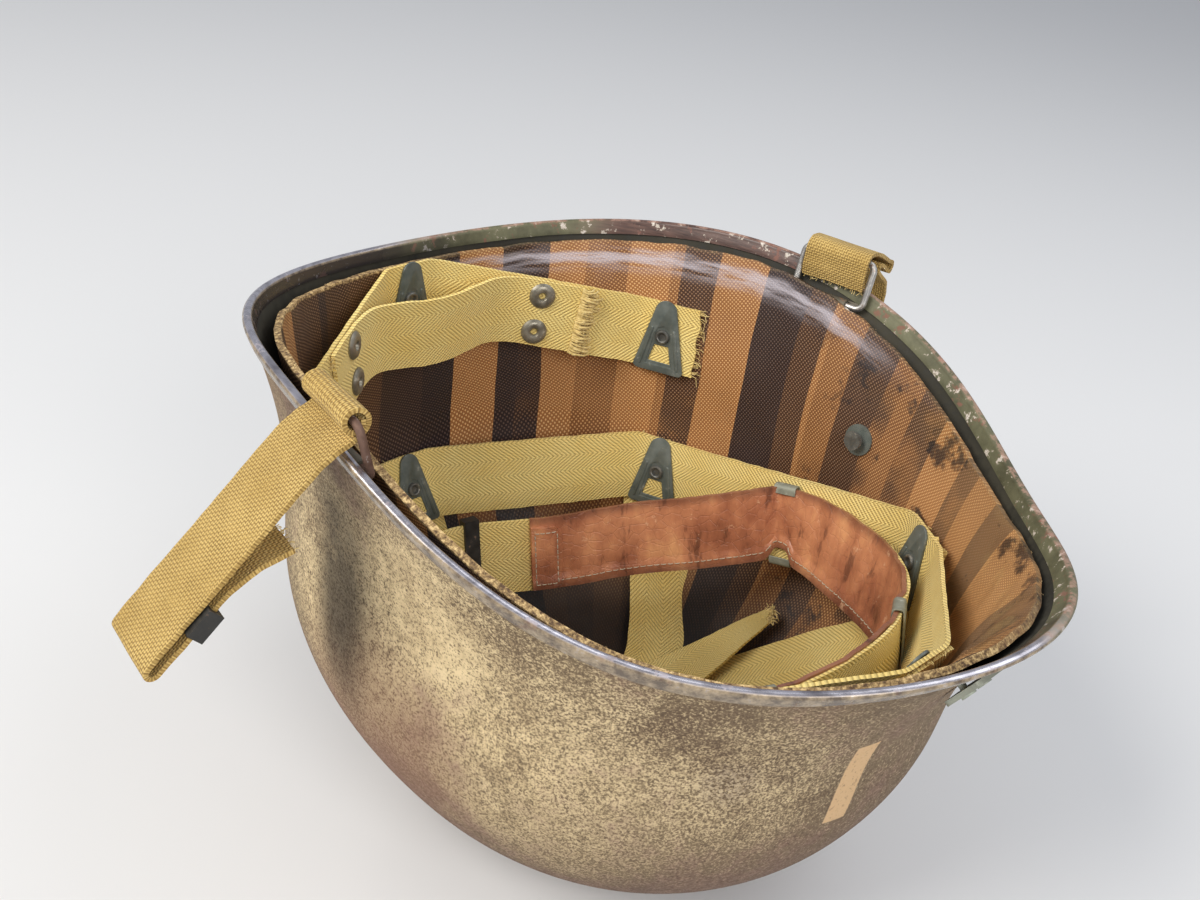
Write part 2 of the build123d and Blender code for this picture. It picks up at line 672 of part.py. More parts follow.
def make_front_plate():
    """Plain stamped plate with a turned edge, held off the front of the bowl on two posts."""
    skin = OUTER.plane(0, PLATE_LEVEL)
    out = Plane(origin=skin.origin, x_dir=skin.x_dir * -1, z_dir=skin.z_dir * -1)
    face = RectangleRounded(PLATE_WIDE, PLATE_TALL, PLATE_CORNER)
    rim = face - RectangleRounded(PLATE_WIDE - 2 * PLATE_WALL, PLATE_TALL - 2 * PLATE_WALL,
                                  PLATE_CORNER - PLATE_WALL)
    plate = Pos(0, 0, PLATE_STAND) * extrude(face, PLATE_WALL)
    plate = plate + Pos(0, 0, PLATE_STAND + PLATE_WALL - PLATE_EDGE) * extrude(rim, PLATE_EDGE)
    posts = []
    for side in (-1, 1):
        shank = upright(POST_R, PLATE_STAND + PLATE_WALL + POST_BACK, (side * POST_SPREAD, 0, -POST_BACK))
        head = upright(POST_HEAD_R, POST_HEAD_TALL, (side * POST_SPREAD, 0, PLATE_STAND + PLATE_WALL))
        posts.append(out * (shank + head))
    return out * plate, posts[0] + posts[1]


def make_strap_buckle():
    """Slide frame round the returned end of the left strap, with a middle bar."""
    long = STRAP_WIDE + 2 * (STRAP_FIT + BUCKLE_BAR)
    tall = STRAP_WALL + 2 * (STRAP_FIT + BUCKLE_BAR)
    frame = Box(BUCKLE_RUN, tall, long) - Box(BUCKLE_RUN * 2, tall - 2 * BUCKLE_BAR, long - 2 * BUCKLE_BAR)
    across = -2 * STRAP_FOLD_R - STRAP_WALL * 3 / 2
    return SIDE * (LEANING * (Pos(STRAP_LONG - BUCKLE_PLACE, across, 0) * frame))


def build():
    parts = {}
    outer = OUTER.solid()
    inner = INNER.solid()
    shell = outer - inner - above_rim(0)
    parts["rim_band"] = make_rim_band()
    liner = LINER_OUTER.solid() - LINER_INNER.solid() - above_rim(-LINER_DROP)
    pad_skin = Skin(SHELL_WALL + PAD_WALL, SHELL_WALL + PAD_WALL).solid()
    bale = make_bale()
    parts["bale_bracket_right"] = make_bracket(inner, pad_skin, lambda shape: shape)
    parts["bale_bracket_left"] = make_bracket(inner, pad_skin, lambda shape: mirror(shape, Plane.XZ))
    parts["bale_right"] = bale
    parts["bale_left"] = mirror(bale, Plane.XZ)
    parts["chinstrap_left"] = mirror(make_left_strap(), Plane.XZ)
    parts["chinstrap_right"] = make_right_strap()
    parts["chinstrap_buckle"] = mirror(make_strap_buckle(), Plane.XZ)
    parts["chinstrap_hook"] = make_hook()
    plate, posts = make_front_plate()
    parts["front_plate"] = plate - posts
    parts["front_plate_posts"] = posts - inner
    shell = shell - posts
    parts["steel_shell"] = shell

    head_planes = [LINER_INNER.plane(turn, head_height(turn)) for turn in HEAD_TURNS]
    neck_planes = [LINER_INNER.plane(turn, neck_height(turn)) for turn in NECK_TURNS]
    head_near = HEAD_STAND + WEB_WALL
    rivet_back = LINER_WALL + RIVET_BACK_FIT
    head_rivets = [plane * rivet_body(head_near + WEB_WALL + WASHER_WALL, rivet_back) for plane in head_planes]
    neck_rivets = [plane * rivet_body(NECK_STAND + WEB_WALL + WASHER_WALL, rivet_back) for plane in neck_planes]
    head_band = band_between(head_planes, HEAD_BAND_TALL / 2, head_near, True)
    neck_band = band_between(neck_planes, NECK_BAND_TALL / 2, NECK_STAND, False, NECK_TAIL)
    for number, plane in enumerate(head_planes, 1):
        parts[f"head_washer_{number}"] = plane * (Pos(0, 0, head_near + WEB_WALL) * washer_body()) - head_rivets[number - 1]
        parts[f"crown_leg_{number}"] = make_leg(HEAD_TURNS[number - 1]) - head_rivets[number - 1]
        head_band = head_band - head_rivets[number - 1]
    for name, plane, rivet in zip(("right", "rear", "left"), neck_planes, neck_rivets):
        parts[f"neck_washer_{name}"] = plane * (Pos(0, 0, NECK_STAND + WEB_WALL) * washer_body()) - rivet
        neck_band = neck_band - rivet
    right = side_planes(neck_planes[0], neck_planes[1], NECK_STAND + WEB_WALL)
    left = side_planes(neck_planes[1], neck_planes[2], NECK_STAND + WEB_WALL)
    nape = make_nape_strap(right, left)
    for name, plane in (("right", right), ("left", left)):
        snaps = make_snap(plane, -SNAP_PITCH / 2) + make_snap(plane, SNAP_PITCH / 2)
        parts[f"nape_snaps_{name}"] = snaps
        nape = nape - snaps
        neck_band = neck_band - snaps
    parts["nape_strap"] = nape
    parts["neck_band"] = neck_band
    parts["head_band"] = head_band
    parts["head_rivets"] = Part() + head_rivets
    parts["neck_rivets"] = Part() + neck_rivets

    anchors = [side_planes(head_planes[4], head_planes[5], head_near + WEB_WALL),
               side_planes(head_planes[5], head_planes[0], head_near + WEB_WALL),
               side_planes(head_planes[0], head_planes[1], head_near + WEB_WALL),
               side_planes(head_planes[1], head_planes[2], head_near + WEB_WALL)]
    samples = sweat_samples(anchors)
    leather = leather_strip(samples)
    webbing = closed_strip(samples, 0, SWEAT_WEB_WALL, SWEAT_WEB_TALL)
    buckle = sweat_frame(samples, BUCKLE_SAMPLE) * sweat_buckle_body() - webbing
    clips = []
    for anchor in anchors:
        place = SWEAT_PLANE.to_local_coords(anchor.origin)
        index = min(range(SWEAT_SAMPLES), key=lambda k: (samples[k] - Vector(place.X, place.Y)).length)
        clips.append(sweat_frame(samples, index) * clip_body() - leather - webbing - head_band)
    for index in FREE_CLIP_SAMPLES:
        clips.append(sweat_frame(samples, index) * clip_body() - leather - webbing)
    parts["sweatband_leather"] = leather
    parts["sweatband_webbing"] = webbing
    parts["sweatband_buckle"] = buckle
    parts["sweatband_clips"] = Part() + clips

    stud_planes = [LINER_INNER.plane(turn, STUD_LEVEL) for turn in (STUD_TURN, FULL_TURN - STUD_TURN)]
    for name, plane in zip(("right", "left"), stud_planes):
        washer = upright(STUD_WASHER_R, STUD_WASHER_WALL, (0, 0, STUD_STAND))
        shank = upright(STUD_R, LINER_WALL + STUD_STAND + STUD_WASHER_WALL + STUD_NECK_TALL, (0, 0, -LINER_WALL))
        tail = upright(RIVET_BACK_R, RIVET_BACK_TALL, (0, 0, -LINER_WALL - RIVET_BACK_TALL))
        head = upright(STUD_HEAD_R, STUD_HEAD_TALL, (0, 0, STUD_STAND + STUD_WASHER_WALL + STUD_NECK_TALL))
        stud = plane * (shank + tail + head)
        parts[f"liner_stud_{name}"] = stud
        parts[f"stud_washer_{name}"] = plane * washer - stud
    for plane in head_planes + neck_planes:
        liner = liner - liner_hole(plane, RIVET_R)
    for plane in stud_planes:
        liner = liner - liner_hole(plane, STUD_R)
    parts["liner_shell"] = liner
    return parts


if __name__ == "__main__":
    os.makedirs("parts", exist_ok=True)
    for name, shape in build().items():
        export_step(shape, f"parts/{name}.step")
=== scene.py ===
# %% [markdown]
# # A steel pot helmet, upside down
# The object is a steel shell with a rolled steel band on its rim, and inside it a second shell of woven
# cloth set in resin, which carries the webbing and a leather sweatband. The CAD model gives every piece's
# place, size and joint. Blender adds what CAD leaves out: cloth that bends and frays, worn paint, and
# light. The formulas are in millimetres and the finished pieces in metres, in the CAD frame: X to the
# visor, Y to the wearer's right, Z up to the open side.

# %% Load the CAD frame
import json
import math
import random

import bpy
from mathutils import Matrix, Vector, geometry, noise


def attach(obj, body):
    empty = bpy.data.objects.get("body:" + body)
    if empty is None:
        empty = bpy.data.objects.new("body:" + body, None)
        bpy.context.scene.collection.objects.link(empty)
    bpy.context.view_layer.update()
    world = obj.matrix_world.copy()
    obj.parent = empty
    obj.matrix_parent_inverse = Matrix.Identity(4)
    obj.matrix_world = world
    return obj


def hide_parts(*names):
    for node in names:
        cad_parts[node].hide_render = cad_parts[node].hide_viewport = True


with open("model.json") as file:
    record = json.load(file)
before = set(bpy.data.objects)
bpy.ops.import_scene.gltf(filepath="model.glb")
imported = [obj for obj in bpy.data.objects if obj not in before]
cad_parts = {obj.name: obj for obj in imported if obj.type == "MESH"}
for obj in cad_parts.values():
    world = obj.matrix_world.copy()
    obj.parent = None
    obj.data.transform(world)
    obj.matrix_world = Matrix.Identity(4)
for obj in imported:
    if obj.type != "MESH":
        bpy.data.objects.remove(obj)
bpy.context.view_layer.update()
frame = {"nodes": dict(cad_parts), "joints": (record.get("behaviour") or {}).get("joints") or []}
MM = 0.001
UP = Vector((0, 0, 1))

# %% [markdown]
# ## The shape of the bowl in numbers
# The steel shell and the liner follow the same formula as the CAD model: a bowl that is a superellipse in
# plan and in section, and near the rim a flare out to a wavy rim line. The rim line runs through stations
# every thirty degrees, joined by a cosine series, so it is smooth and the same on both sides. Having the
# formula here lets each grid be laid on the wall evenly, which a copied CAD mesh wouldn't allow.

# %% Rim stations and the bowl formula, in millimetres
HELMET_HEIGHT = 180.0
HALF_LENGTH = 142.3
SHELL_WALL = 1.1
BOWL_FRONT, BOWL_REAR, BOWL_SIDE = 115.0, 134.0, 105.0
BOWL_DEPTH = 96.0
BOWL_POWER = 2.1
CROWN_SAG = 0.6
FLARE_DEPTH = 66.0
BOWL_SHARE = 0.56
RIM_REACH = [HALF_LENGTH * share for share in (1.016, 0.925, 0.868, 0.844, 0.880, 0.968, 0.984)]
RIM_HEIGHT = [HELMET_HEIGHT * share for share in (0.853, 0.818, 0.856, 0.967, 0.999, 0.957, 0.928)]
LINER_GAP, LINER_WALL, LINER_DROP = 2.5, 2.2, 4.0
LINER_GAPS = (3.6, 3.6, 6.5, 6.5, 6.5, 6.4, 6.4)


def cosine_terms(values):
    """Cosine terms of the even curve through values spaced evenly over half a turn."""
    last = len(values) - 1
    terms = []
    for order in range(last + 1):
        total = sum((0.5 if index in (0, last) else 1) * value * math.cos(math.pi * order * index / last)
                    for index, value in enumerate(values))
        terms.append(total / last if order in (0, last) else 2 * total / last)
    return terms


def along_terms(terms, turn):
    return sum(term * math.cos(order * math.radians(turn)) for order, term in enumerate(terms))


def heading(turn, reach=1.0, height=0.0):
    """Point at a reach from the middle, in the direction of a turn in degrees from the visor."""
    angle = math.radians(turn)
    return Vector((reach * math.cos(angle), reach * math.sin(angle), height))


REACH_TERMS, HEIGHT_TERMS, GAP_TERMS = map(cosine_terms, (RIM_REACH, RIM_HEIGHT, LINER_GAPS))


class Bowl:
    """A wall of the helmet: inset from the outside of the steel, with its lowest point at floor."""

    def __init__(self, inset, floor, rim_inset=None):
        self.inset, self.floor = inset, floor
        self.rim_inset = rim_inset or (lambda turn: inset)
        self.depth = BOWL_DEPTH - floor + CROWN_SAG

    def plan(self, turn):
        angle = math.radians(turn)
        reach = BOWL_FRONT if math.cos(angle) > 0 else BOWL_REAR
        along = abs(math.cos(angle)) / (reach - self.inset)
        across = abs(math.sin(angle)) / (BOWL_SIDE - self.inset)
        return (along ** BOWL_POWER + across ** BOWL_POWER) ** (-1 / BOWL_POWER)

    def radius(self, turn, height):
        lack = max(0.0, 1 - (height - self.floor + CROWN_SAG) / self.depth)
        swell = (1 - lack ** BOWL_POWER) ** (1 / BOWL_POWER)
        below = (along_terms(HEIGHT_TERMS, turn) - height) / FLARE_DEPTH
        flare = 0 if below > 1 else (1 - below) ** 2 if below > 0 else 1 - 2 * below
        spread = along_terms(REACH_TERMS, turn) - self.rim_inset(turn) - self.plan(turn)
        return self.plan(turn) * swell + spread * flare

    def point(self, turn, height, out=0.0):
        return heading(turn, self.radius(turn, height) + out, height)

    def place(self, turn, share, drop=0.0):
        """Point on the wall: share runs evenly from 0 at the middle of the crown to 1 at the rim."""
        top = along_terms(HEIGHT_TERMS, turn) - drop
        if share >= BOWL_SHARE:
            return self.point(turn, BOWL_DEPTH + (top - BOWL_DEPTH) * (share - BOWL_SHARE) / (1 - BOWL_SHARE))
        lift = 1 - math.cos(math.pi / 2 * share / BOWL_SHARE)
        height = self.floor - CROWN_SAG + self.depth * lift
        if height > self.floor:
            return self.point(turn, height)
        flat_share = BOWL_SHARE * math.acos(1 - CROWN_SAG / self.depth) / (math.pi / 2)
        rim = self.point(turn, self.floor)
        return Vector((rim.x * share / flat_share, rim.y * share / flat_share, self.floor))

    def seat(self, turn, height):
        """Where something is riveted on: x level, y up the wall, z into the bowl."""
        step = BOWL_DEPTH / 200
        climb = (self.point(turn, height + step) - self.point(turn, height - step)).normalized()
        level = (self.point(turn - 1, height) - self.point(turn + 1, height)).normalized()
        return Seat(self.point(turn, height), level, climb)


class Seat:
    """An origin with three directions, for placing pieces."""

    def __init__(self, origin, x, y):
        self.o, self.x, self.y = Vector(origin), Vector(x).normalized(), Vector(y).normalized()
        self.z = self.x.cross(self.y).normalized()

    def at(self, x, y, z=0.0):
        return self.o + self.x * x + self.y * y + self.z * z

    def matrix(self, y=0.0, z=0.0):
        turn = Matrix((self.x, self.y, self.z)).transposed().to_4x4()
        return Matrix.Translation(self.at(0, y, z) * MM) @ turn


OUTER = Bowl(0, 0)
INNER = Bowl(SHELL_WALL, SHELL_WALL)
LINER_IN = Bowl(SHELL_WALL + LINER_GAP + LINER_WALL, SHELL_WALL + LINER_WALL,
                lambda turn: SHELL_WALL + LINER_WALL + along_terms(GAP_TERMS, turn))
print("rim height at the visor", round(along_terms(HEIGHT_TERMS, 0), 1), "and at the side",
      round(along_terms(HEIGHT_TERMS, 90), 1))

# %% [markdown]
# ## Grids laid over a shape
# Cloth, webbing and the bowl walls are all thin sheets. A grid primitive is added and its points are
# moved to where a formula puts them, and its UV map is kept in millimetres, so that a weave has its real
# thread size wherever the piece bends. A Solidify modifier then gives the sheet its real wall.

# %% Helpers for grids, walls and threads
def deselect():
    for piece in list(bpy.context.selected_objects):
        piece.select_set(False)


def take(piece):
    deselect()
    piece.select_set(True)
    bpy.context.view_layer.objects.active = piece
    return piece


def apply_modifier(piece, kind, **settings):
    take(piece)
    modifier = piece.modifiers.new(kind.title(), kind)
    for key, value in settings.items():
        setattr(modifier, key, value)
    bpy.ops.object.modifier_apply(modifier=modifier.name)


def shaped(piece, *steps):
    """Edit-mode steps on a piece, each an operator with its settings, and each on all that the piece has."""
    take(piece)
    bpy.ops.object.mode_set(mode="EDIT")
    for operator, settings in steps:
        bpy.ops.mesh.select_all(action="SELECT")
        operator(**settings)
    bpy.ops.object.mode_set(mode="OBJECT")


def smoothed(piece, angle):
    take(piece)
    bpy.ops.object.shade_smooth_by_angle(angle=math.radians(angle))
    return piece


def joined(parts):
    deselect()
    for part in parts:
        part.select_set(True)
    bpy.context.view_layer.objects.active = parts[0]
    if len(parts) > 1:
        bpy.ops.object.join()
    return parts[0]


def dress(piece, name, body, finish, nodes=()):
    """Names a finished piece, gives it its material and lets it ride on its CAD body."""
    piece.name = name
    piece.data.name = name
    piece.data.materials.clear()
    piece.data.materials.append(finish)
    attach(piece, body)
    if nodes:
        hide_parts(*nodes)
    return piece


def laid_grid(columns, rows, place, long, wide, wall, offset=0.0, flip=False):
    """Grid over place(u, v), which gives millimetres for u along and v across, with a wall in millimetres."""
    deselect()
    bpy.ops.mesh.primitive_grid_add(x_subdivisions=columns, y_subdivisions=rows, size=1, calc_uvs=True)
    piece = bpy.context.object
    mesh = piece.data
    for loop in mesh.uv_layers[0].data:
        loop.uv = (loop.uv[0] * long, loop.uv[1] * wide)
    for vertex in mesh.vertices:
        vertex.co = place(vertex.co.x + 0.5, vertex.co.y + 0.5) * MM
    shaped(piece, (bpy.ops.mesh.remove_doubles, {"threshold": 0.01 * MM}))
    if flip:
        shaped(piece, (bpy.ops.mesh.flip_normals, {}))
    apply_modifier(piece, "SOLIDIFY", thickness=wall * MM, offset=offset, use_even_offset=False,
                   use_quality_normals=True)
    return smoothed(piece, 40)


def threads(paths, radius, sides=1):
    """Thin strands along paths in millimetres, as one mesh."""
    curve = bpy.data.curves.new("threads", "CURVE")
    curve.dimensions = "3D"
    curve.bevel_depth = radius * MM
    curve.bevel_resolution = sides - 1
    curve.use_fill_caps = True
    for path in paths:
        spline = curve.splines.new("POLY")
        spline.points.add(len(path) - 1)
        for point, place in zip(spline.points, path):
            point.co = (place[0] * MM, place[1] * MM, place[2] * MM, 1)
    piece = bpy.data.objects.new("threads", curve)
    bpy.context.scene.collection.objects.link(piece)
    take(piece)
    bpy.ops.object.convert(target="MESH")
    return bpy.context.object


print("helpers for grids and threads are ready")

# %% [markdown]
# ## Ribbons
# Webbing and leather strips share one way of making: a chain of stations, each with a middle point and
# the direction across the strip. The chain is cut into even steps and averaged a few times, so that it
# turns corners as cloth does, and a little noise gives the lazy waves of old webbing.

# %% Ribbon helper
def even_stations(anchors, closed, step=1.5, soften=4):
    """Evenly spaced (middle, across) pairs along a chain of anchors, with its corners rounded."""
    chain = list(anchors) + ([anchors[0]] if closed else [])
    dense = []
    for (a, across_a), (b, across_b) in zip(chain, chain[1:]):
        count = max(1, round((b - a).length / step))
        dense += [(a.lerp(b, k / count), across_a.lerp(across_b, k / count)) for k in range(count)]
    if not closed:
        dense.append(chain[-1])
    for _ in range(soften):
        count = len(dense)
        moved = []
        for index, (middle, across) in enumerate(dense):
            if not closed and index in (0, count - 1):
                moved.append((middle, across))
                continue
            before, after = dense[index - 1], dense[(index + 1) % count]
            moved.append(((before[0] + middle * 2 + after[0]) / 4, (before[1] + across * 2 + after[1]) / 4))
        dense = moved
    if closed:
        dense.append(dense[0])
    return dense


def ribbon(anchors, wide, wall, closed=False, rows=10, soften=4, ripple=0.25, ragged=0.0, seed=0, step=1.5,
           taper=None):
    """Strip of webbing or leather: returns the piece and its two ends for loose threads."""
    stations = even_stations(anchors, closed, step, soften)
    last = len(stations) - 1
    runs = []
    for index in range(last + 1):
        before = stations[index - 1 if index else (last - 1 if closed else 0)][0]
        after = stations[index + 1 if index < last else (1 if closed else last)][0]
        runs.append((after - before).normalized())
    lengths = [0.0]
    for (a, _), (b, _) in zip(stations, stations[1:]):
        lengths.append(lengths[-1] + (b - a).length)
    long = lengths[-1]

    def place(u, v):
        spot = u * last
        index = min(int(spot + 1e-6), last - 1)
        share = spot - index
        middle = stations[index][0].lerp(stations[index + 1][0], share)
        across = stations[index][1].lerp(stations[index + 1][1], share).normalized()
        run = runs[index].lerp(runs[index + 1], share).normalized()
        normal = run.cross(across).normalized()
        s, t = u * long, (v - 0.5) * wide * (taper(u) if taper else 1)
        wave = noise.noise(Vector((math.cos(u * math.tau) * 2 if closed else s * 0.045, t * 0.05,
                                   seed + (math.sin(u * math.tau) * 2 if closed else 0))))
        point = middle + across * t + normal * wave * ripple
        if abs(v - 0.5) > 0.49:
            point = point + across * 0.3 * noise.noise(Vector((s * 0.2, 7.3 + seed, v * 0.1)))
        if ragged and not closed:
            rag = noise.noise(Vector((t * 0.45, seed * 3.1, 1.0 if u < 0.5 else 2.0))) * ragged
            if index < 2 or index > last - 3:
                point = point + run * rag * (1 if u > 0.5 else -1)
        return point

    piece = laid_grid(last, rows, place, long, wide, wall)
    ends = []
    for u, sign in ((0.0, -1), (1.0, 1)):
        run = runs[0] if u == 0 else runs[-1]
        ends.append([(place(u, v / 12), run * sign) for v in range(13)])
    return piece, ends, long


def loose_ends(end, count, reach, seed, spread=0.6):
    """Paths of short loose threads standing out of a cut end."""
    draw = random.Random(seed)
    paths = []
    for _ in range(count):
        spot = draw.uniform(0, len(end) - 1.001)
        index = int(spot)
        start = end[index][0].lerp(end[index + 1][0], spot - index)
        run = end[index][1]
        side = (end[-1][0] - end[0][0]).normalized()
        face = run.cross(side).normalized()
        long = draw.uniform(0.25, 1) * reach
        lean = side * draw.gauss(0, spread) + face * draw.gauss(0, spread)
        middle = start + (run + lean * 0.3) * long * 0.5
        tip = start + (run + lean).normalized() * long - UP * DROOP * long * draw.random()
        paths.append([start - run * 0.8, middle, tip])
    return paths


DROOP = 0.4
print("helpers for ribbons are ready")

# %% [markdown]
# ## Materials written as sums
# A node tree is easier to read as a formula. `Wire` wraps one socket, and its operators add Math nodes,
# so that `ribs * 0.6 + threads` builds the nodes it says. Colours go through Mix nodes, because a Math
# node turns them grey. Only what varies over the surface is linked; everything constant is set on the
# shader itself.

# %% The small shading language
class Wire:
    def __init__(self, finish, socket):
        self.finish, self.socket = finish, socket

    def maths(self, operation, *values):
        return self.finish.node("Math", {"operation": operation}, dict(enumerate((self, *values))))

    def __add__(self, other):
        return self.maths("ADD", other)

    def __radd__(self, other):
        return self.maths("ADD", other)

    def __mul__(self, other):
        return self.maths("MULTIPLY", other)

    def __rmul__(self, other):
        return self.maths("MULTIPLY", other)

    def __sub__(self, other):
        return self.maths("SUBTRACT", other)

    def __rsub__(self, other):
        return self.finish.node("Math", {"operation": "SUBTRACT"}, {0: other, 1: self})

    def __truediv__(self, other):
        return self.maths("DIVIDE", other)

    def wave(self):
        return self.maths("SINE")

    def size(self):
        return self.maths("ABSOLUTE")

    def fold(self, reach):
        return self.maths("PINGPONG", reach)

    def least(self, other):
        return self.maths("MINIMUM", other)

    def most(self, other):
        return self.maths("MAXIMUM", other)

    def over(self, other):
        return self.maths("GREATER_THAN", other)

    def step(self, low, high, to_low=0.0, to_high=1.0):
        """Smooth change from to_low to to_high while the value goes from low to high."""
        return self.finish.node("MapRange", {"interpolation_type": "SMOOTHSTEP"},
                                {0: self, 1: low, 2: high, 3: to_low, 4: to_high})


class Finish:
    """One material, with a Principled shader and its output."""

    def __init__(self, name, **constants):
        self.material = bpy.data.materials.new(name)
        self.material.use_nodes = True
        self.tree = self.material.node_tree
        self.tree.nodes.clear()
        output = self.tree.nodes.new("ShaderNodeOutputMaterial")
        self.shader = self.tree.nodes.new("ShaderNodeBsdfPrincipled")
        self.tree.links.new(self.shader.outputs[0], output.inputs[0])
        for key, value in constants.items():
            self.shader.inputs[key.replace("_", " ").title().replace("Ior", "IOR")].default_value = value

    def node(self, kind, settings=None, values=None, out=0):
        made = self.tree.nodes.new("ShaderNode" + kind)
        for key, value in (settings or {}).items():
            if key == "stops":
                ramp = made.color_ramp
                while len(ramp.elements) < len(value):
                    ramp.elements.new(0.5)
                for element, (place, colour) in zip(ramp.elements, value):
                    element.position = place
                    element.color = (*colour, 1)
            else:
                setattr(made, key, value)
        for key, value in (values or {}).items():
            socket = made.inputs[key]
            if isinstance(value, Wire):
                self.tree.links.new(value.socket, socket)
            elif socket.type == "RGBA" and len(value) == 3:
                socket.default_value = (*value, 1)
            else:
                socket.default_value = value
        return Wire(self, made.outputs[out])

    def place(self):
        return self.node("TexCoord", out=3)

    def parts_of(self, vector):
        made = self.node("SeparateXYZ", values={0: vector})
        return [Wire(self, output) for output in made.socket.node.outputs]

    def flat_place(self):
        """Along and across the piece in millimetres, from its UV map."""
        return self.parts_of(self.node("UVMap", {"uv_map": "UVMap"}))[:2]

    def mottle(self, vector, scale, detail=2.0, roughness=0.5):
        return self.node("TexNoise", {}, {"Vector": vector, "Scale": scale, "Detail": detail,
                                          "Roughness": roughness})

    def drawn_out(self, along, across, detail, roughness):
        """Soft noise over two lengths of the piece, already scaled, so that it can be longer one way."""
        return self.mottle(self.node("CombineXYZ", {}, {0: along, 1: across, 2: 0.0}), 1.0, detail, roughness)

    def scaled(self, vector, by):
        return self.node("VectorMath", {"operation": "MULTIPLY"}, {0: vector, 1: by})

    def past_line(self, vector, spot, direction):
        """How far a vector lies past a spot in one direction, in metres."""
        dot = self.node("VectorMath", {"operation": "DOT_PRODUCT"}, {0: vector, 1: direction}, 1)
        return dot - direction.dot(spot)

    def mix(self, share, a, b):
        return self.node("Mix", {"data_type": "RGBA"}, {0: share, 6: a, 7: b}, 2)

    def ramp(self, share, *stops):
        return self.node("ValToRGB", {"stops": stops}, {0: share})

    def near(self, vector, spot, reach):
        """1 at a spot in millimetres and 0 beyond its reach."""
        gap = self.node("VectorMath", {"operation": "DISTANCE"}, {0: vector, 1: Vector(spot) * MM}, 1)
        return gap.step(reach * 0.25 * MM, reach * MM, 1.0, 0.0)

    def end(self, colour=None, roughness=None, metallic=None, height=None, deep=0.2, strength=1.0, coat=None):
        for key, value in (("Base Color", colour), ("Roughness", roughness), ("Metallic", metallic),
                           ("Coat Weight", coat)):
            if isinstance(value, Wire):
                self.tree.links.new(value.socket, self.shader.inputs[key])
            elif value is not None:
                self.shader.inputs[key].default_value = (*value, 1) if key == "Base Color" else value
        if height is not None:
            bump = self.node("Bump", {}, {"Height": height, "Distance": deep * MM, "Strength": strength})
            self.tree.links.new(bump.socket, self.shader.inputs["Normal"])
        return self.material


print("shading language ready")


# %% [markdown]
# ## Worn paint over a grain of cork
# The shell was painted over fine cork, so its surface is a coarse sand of bumps a millimetre across. The
# paint is olive; its tips have worn to tan, rust shows through in soft patches low on the bowl, and a
# dark stain runs down under the left strap. A plain tan bar is painted on the left of the front.

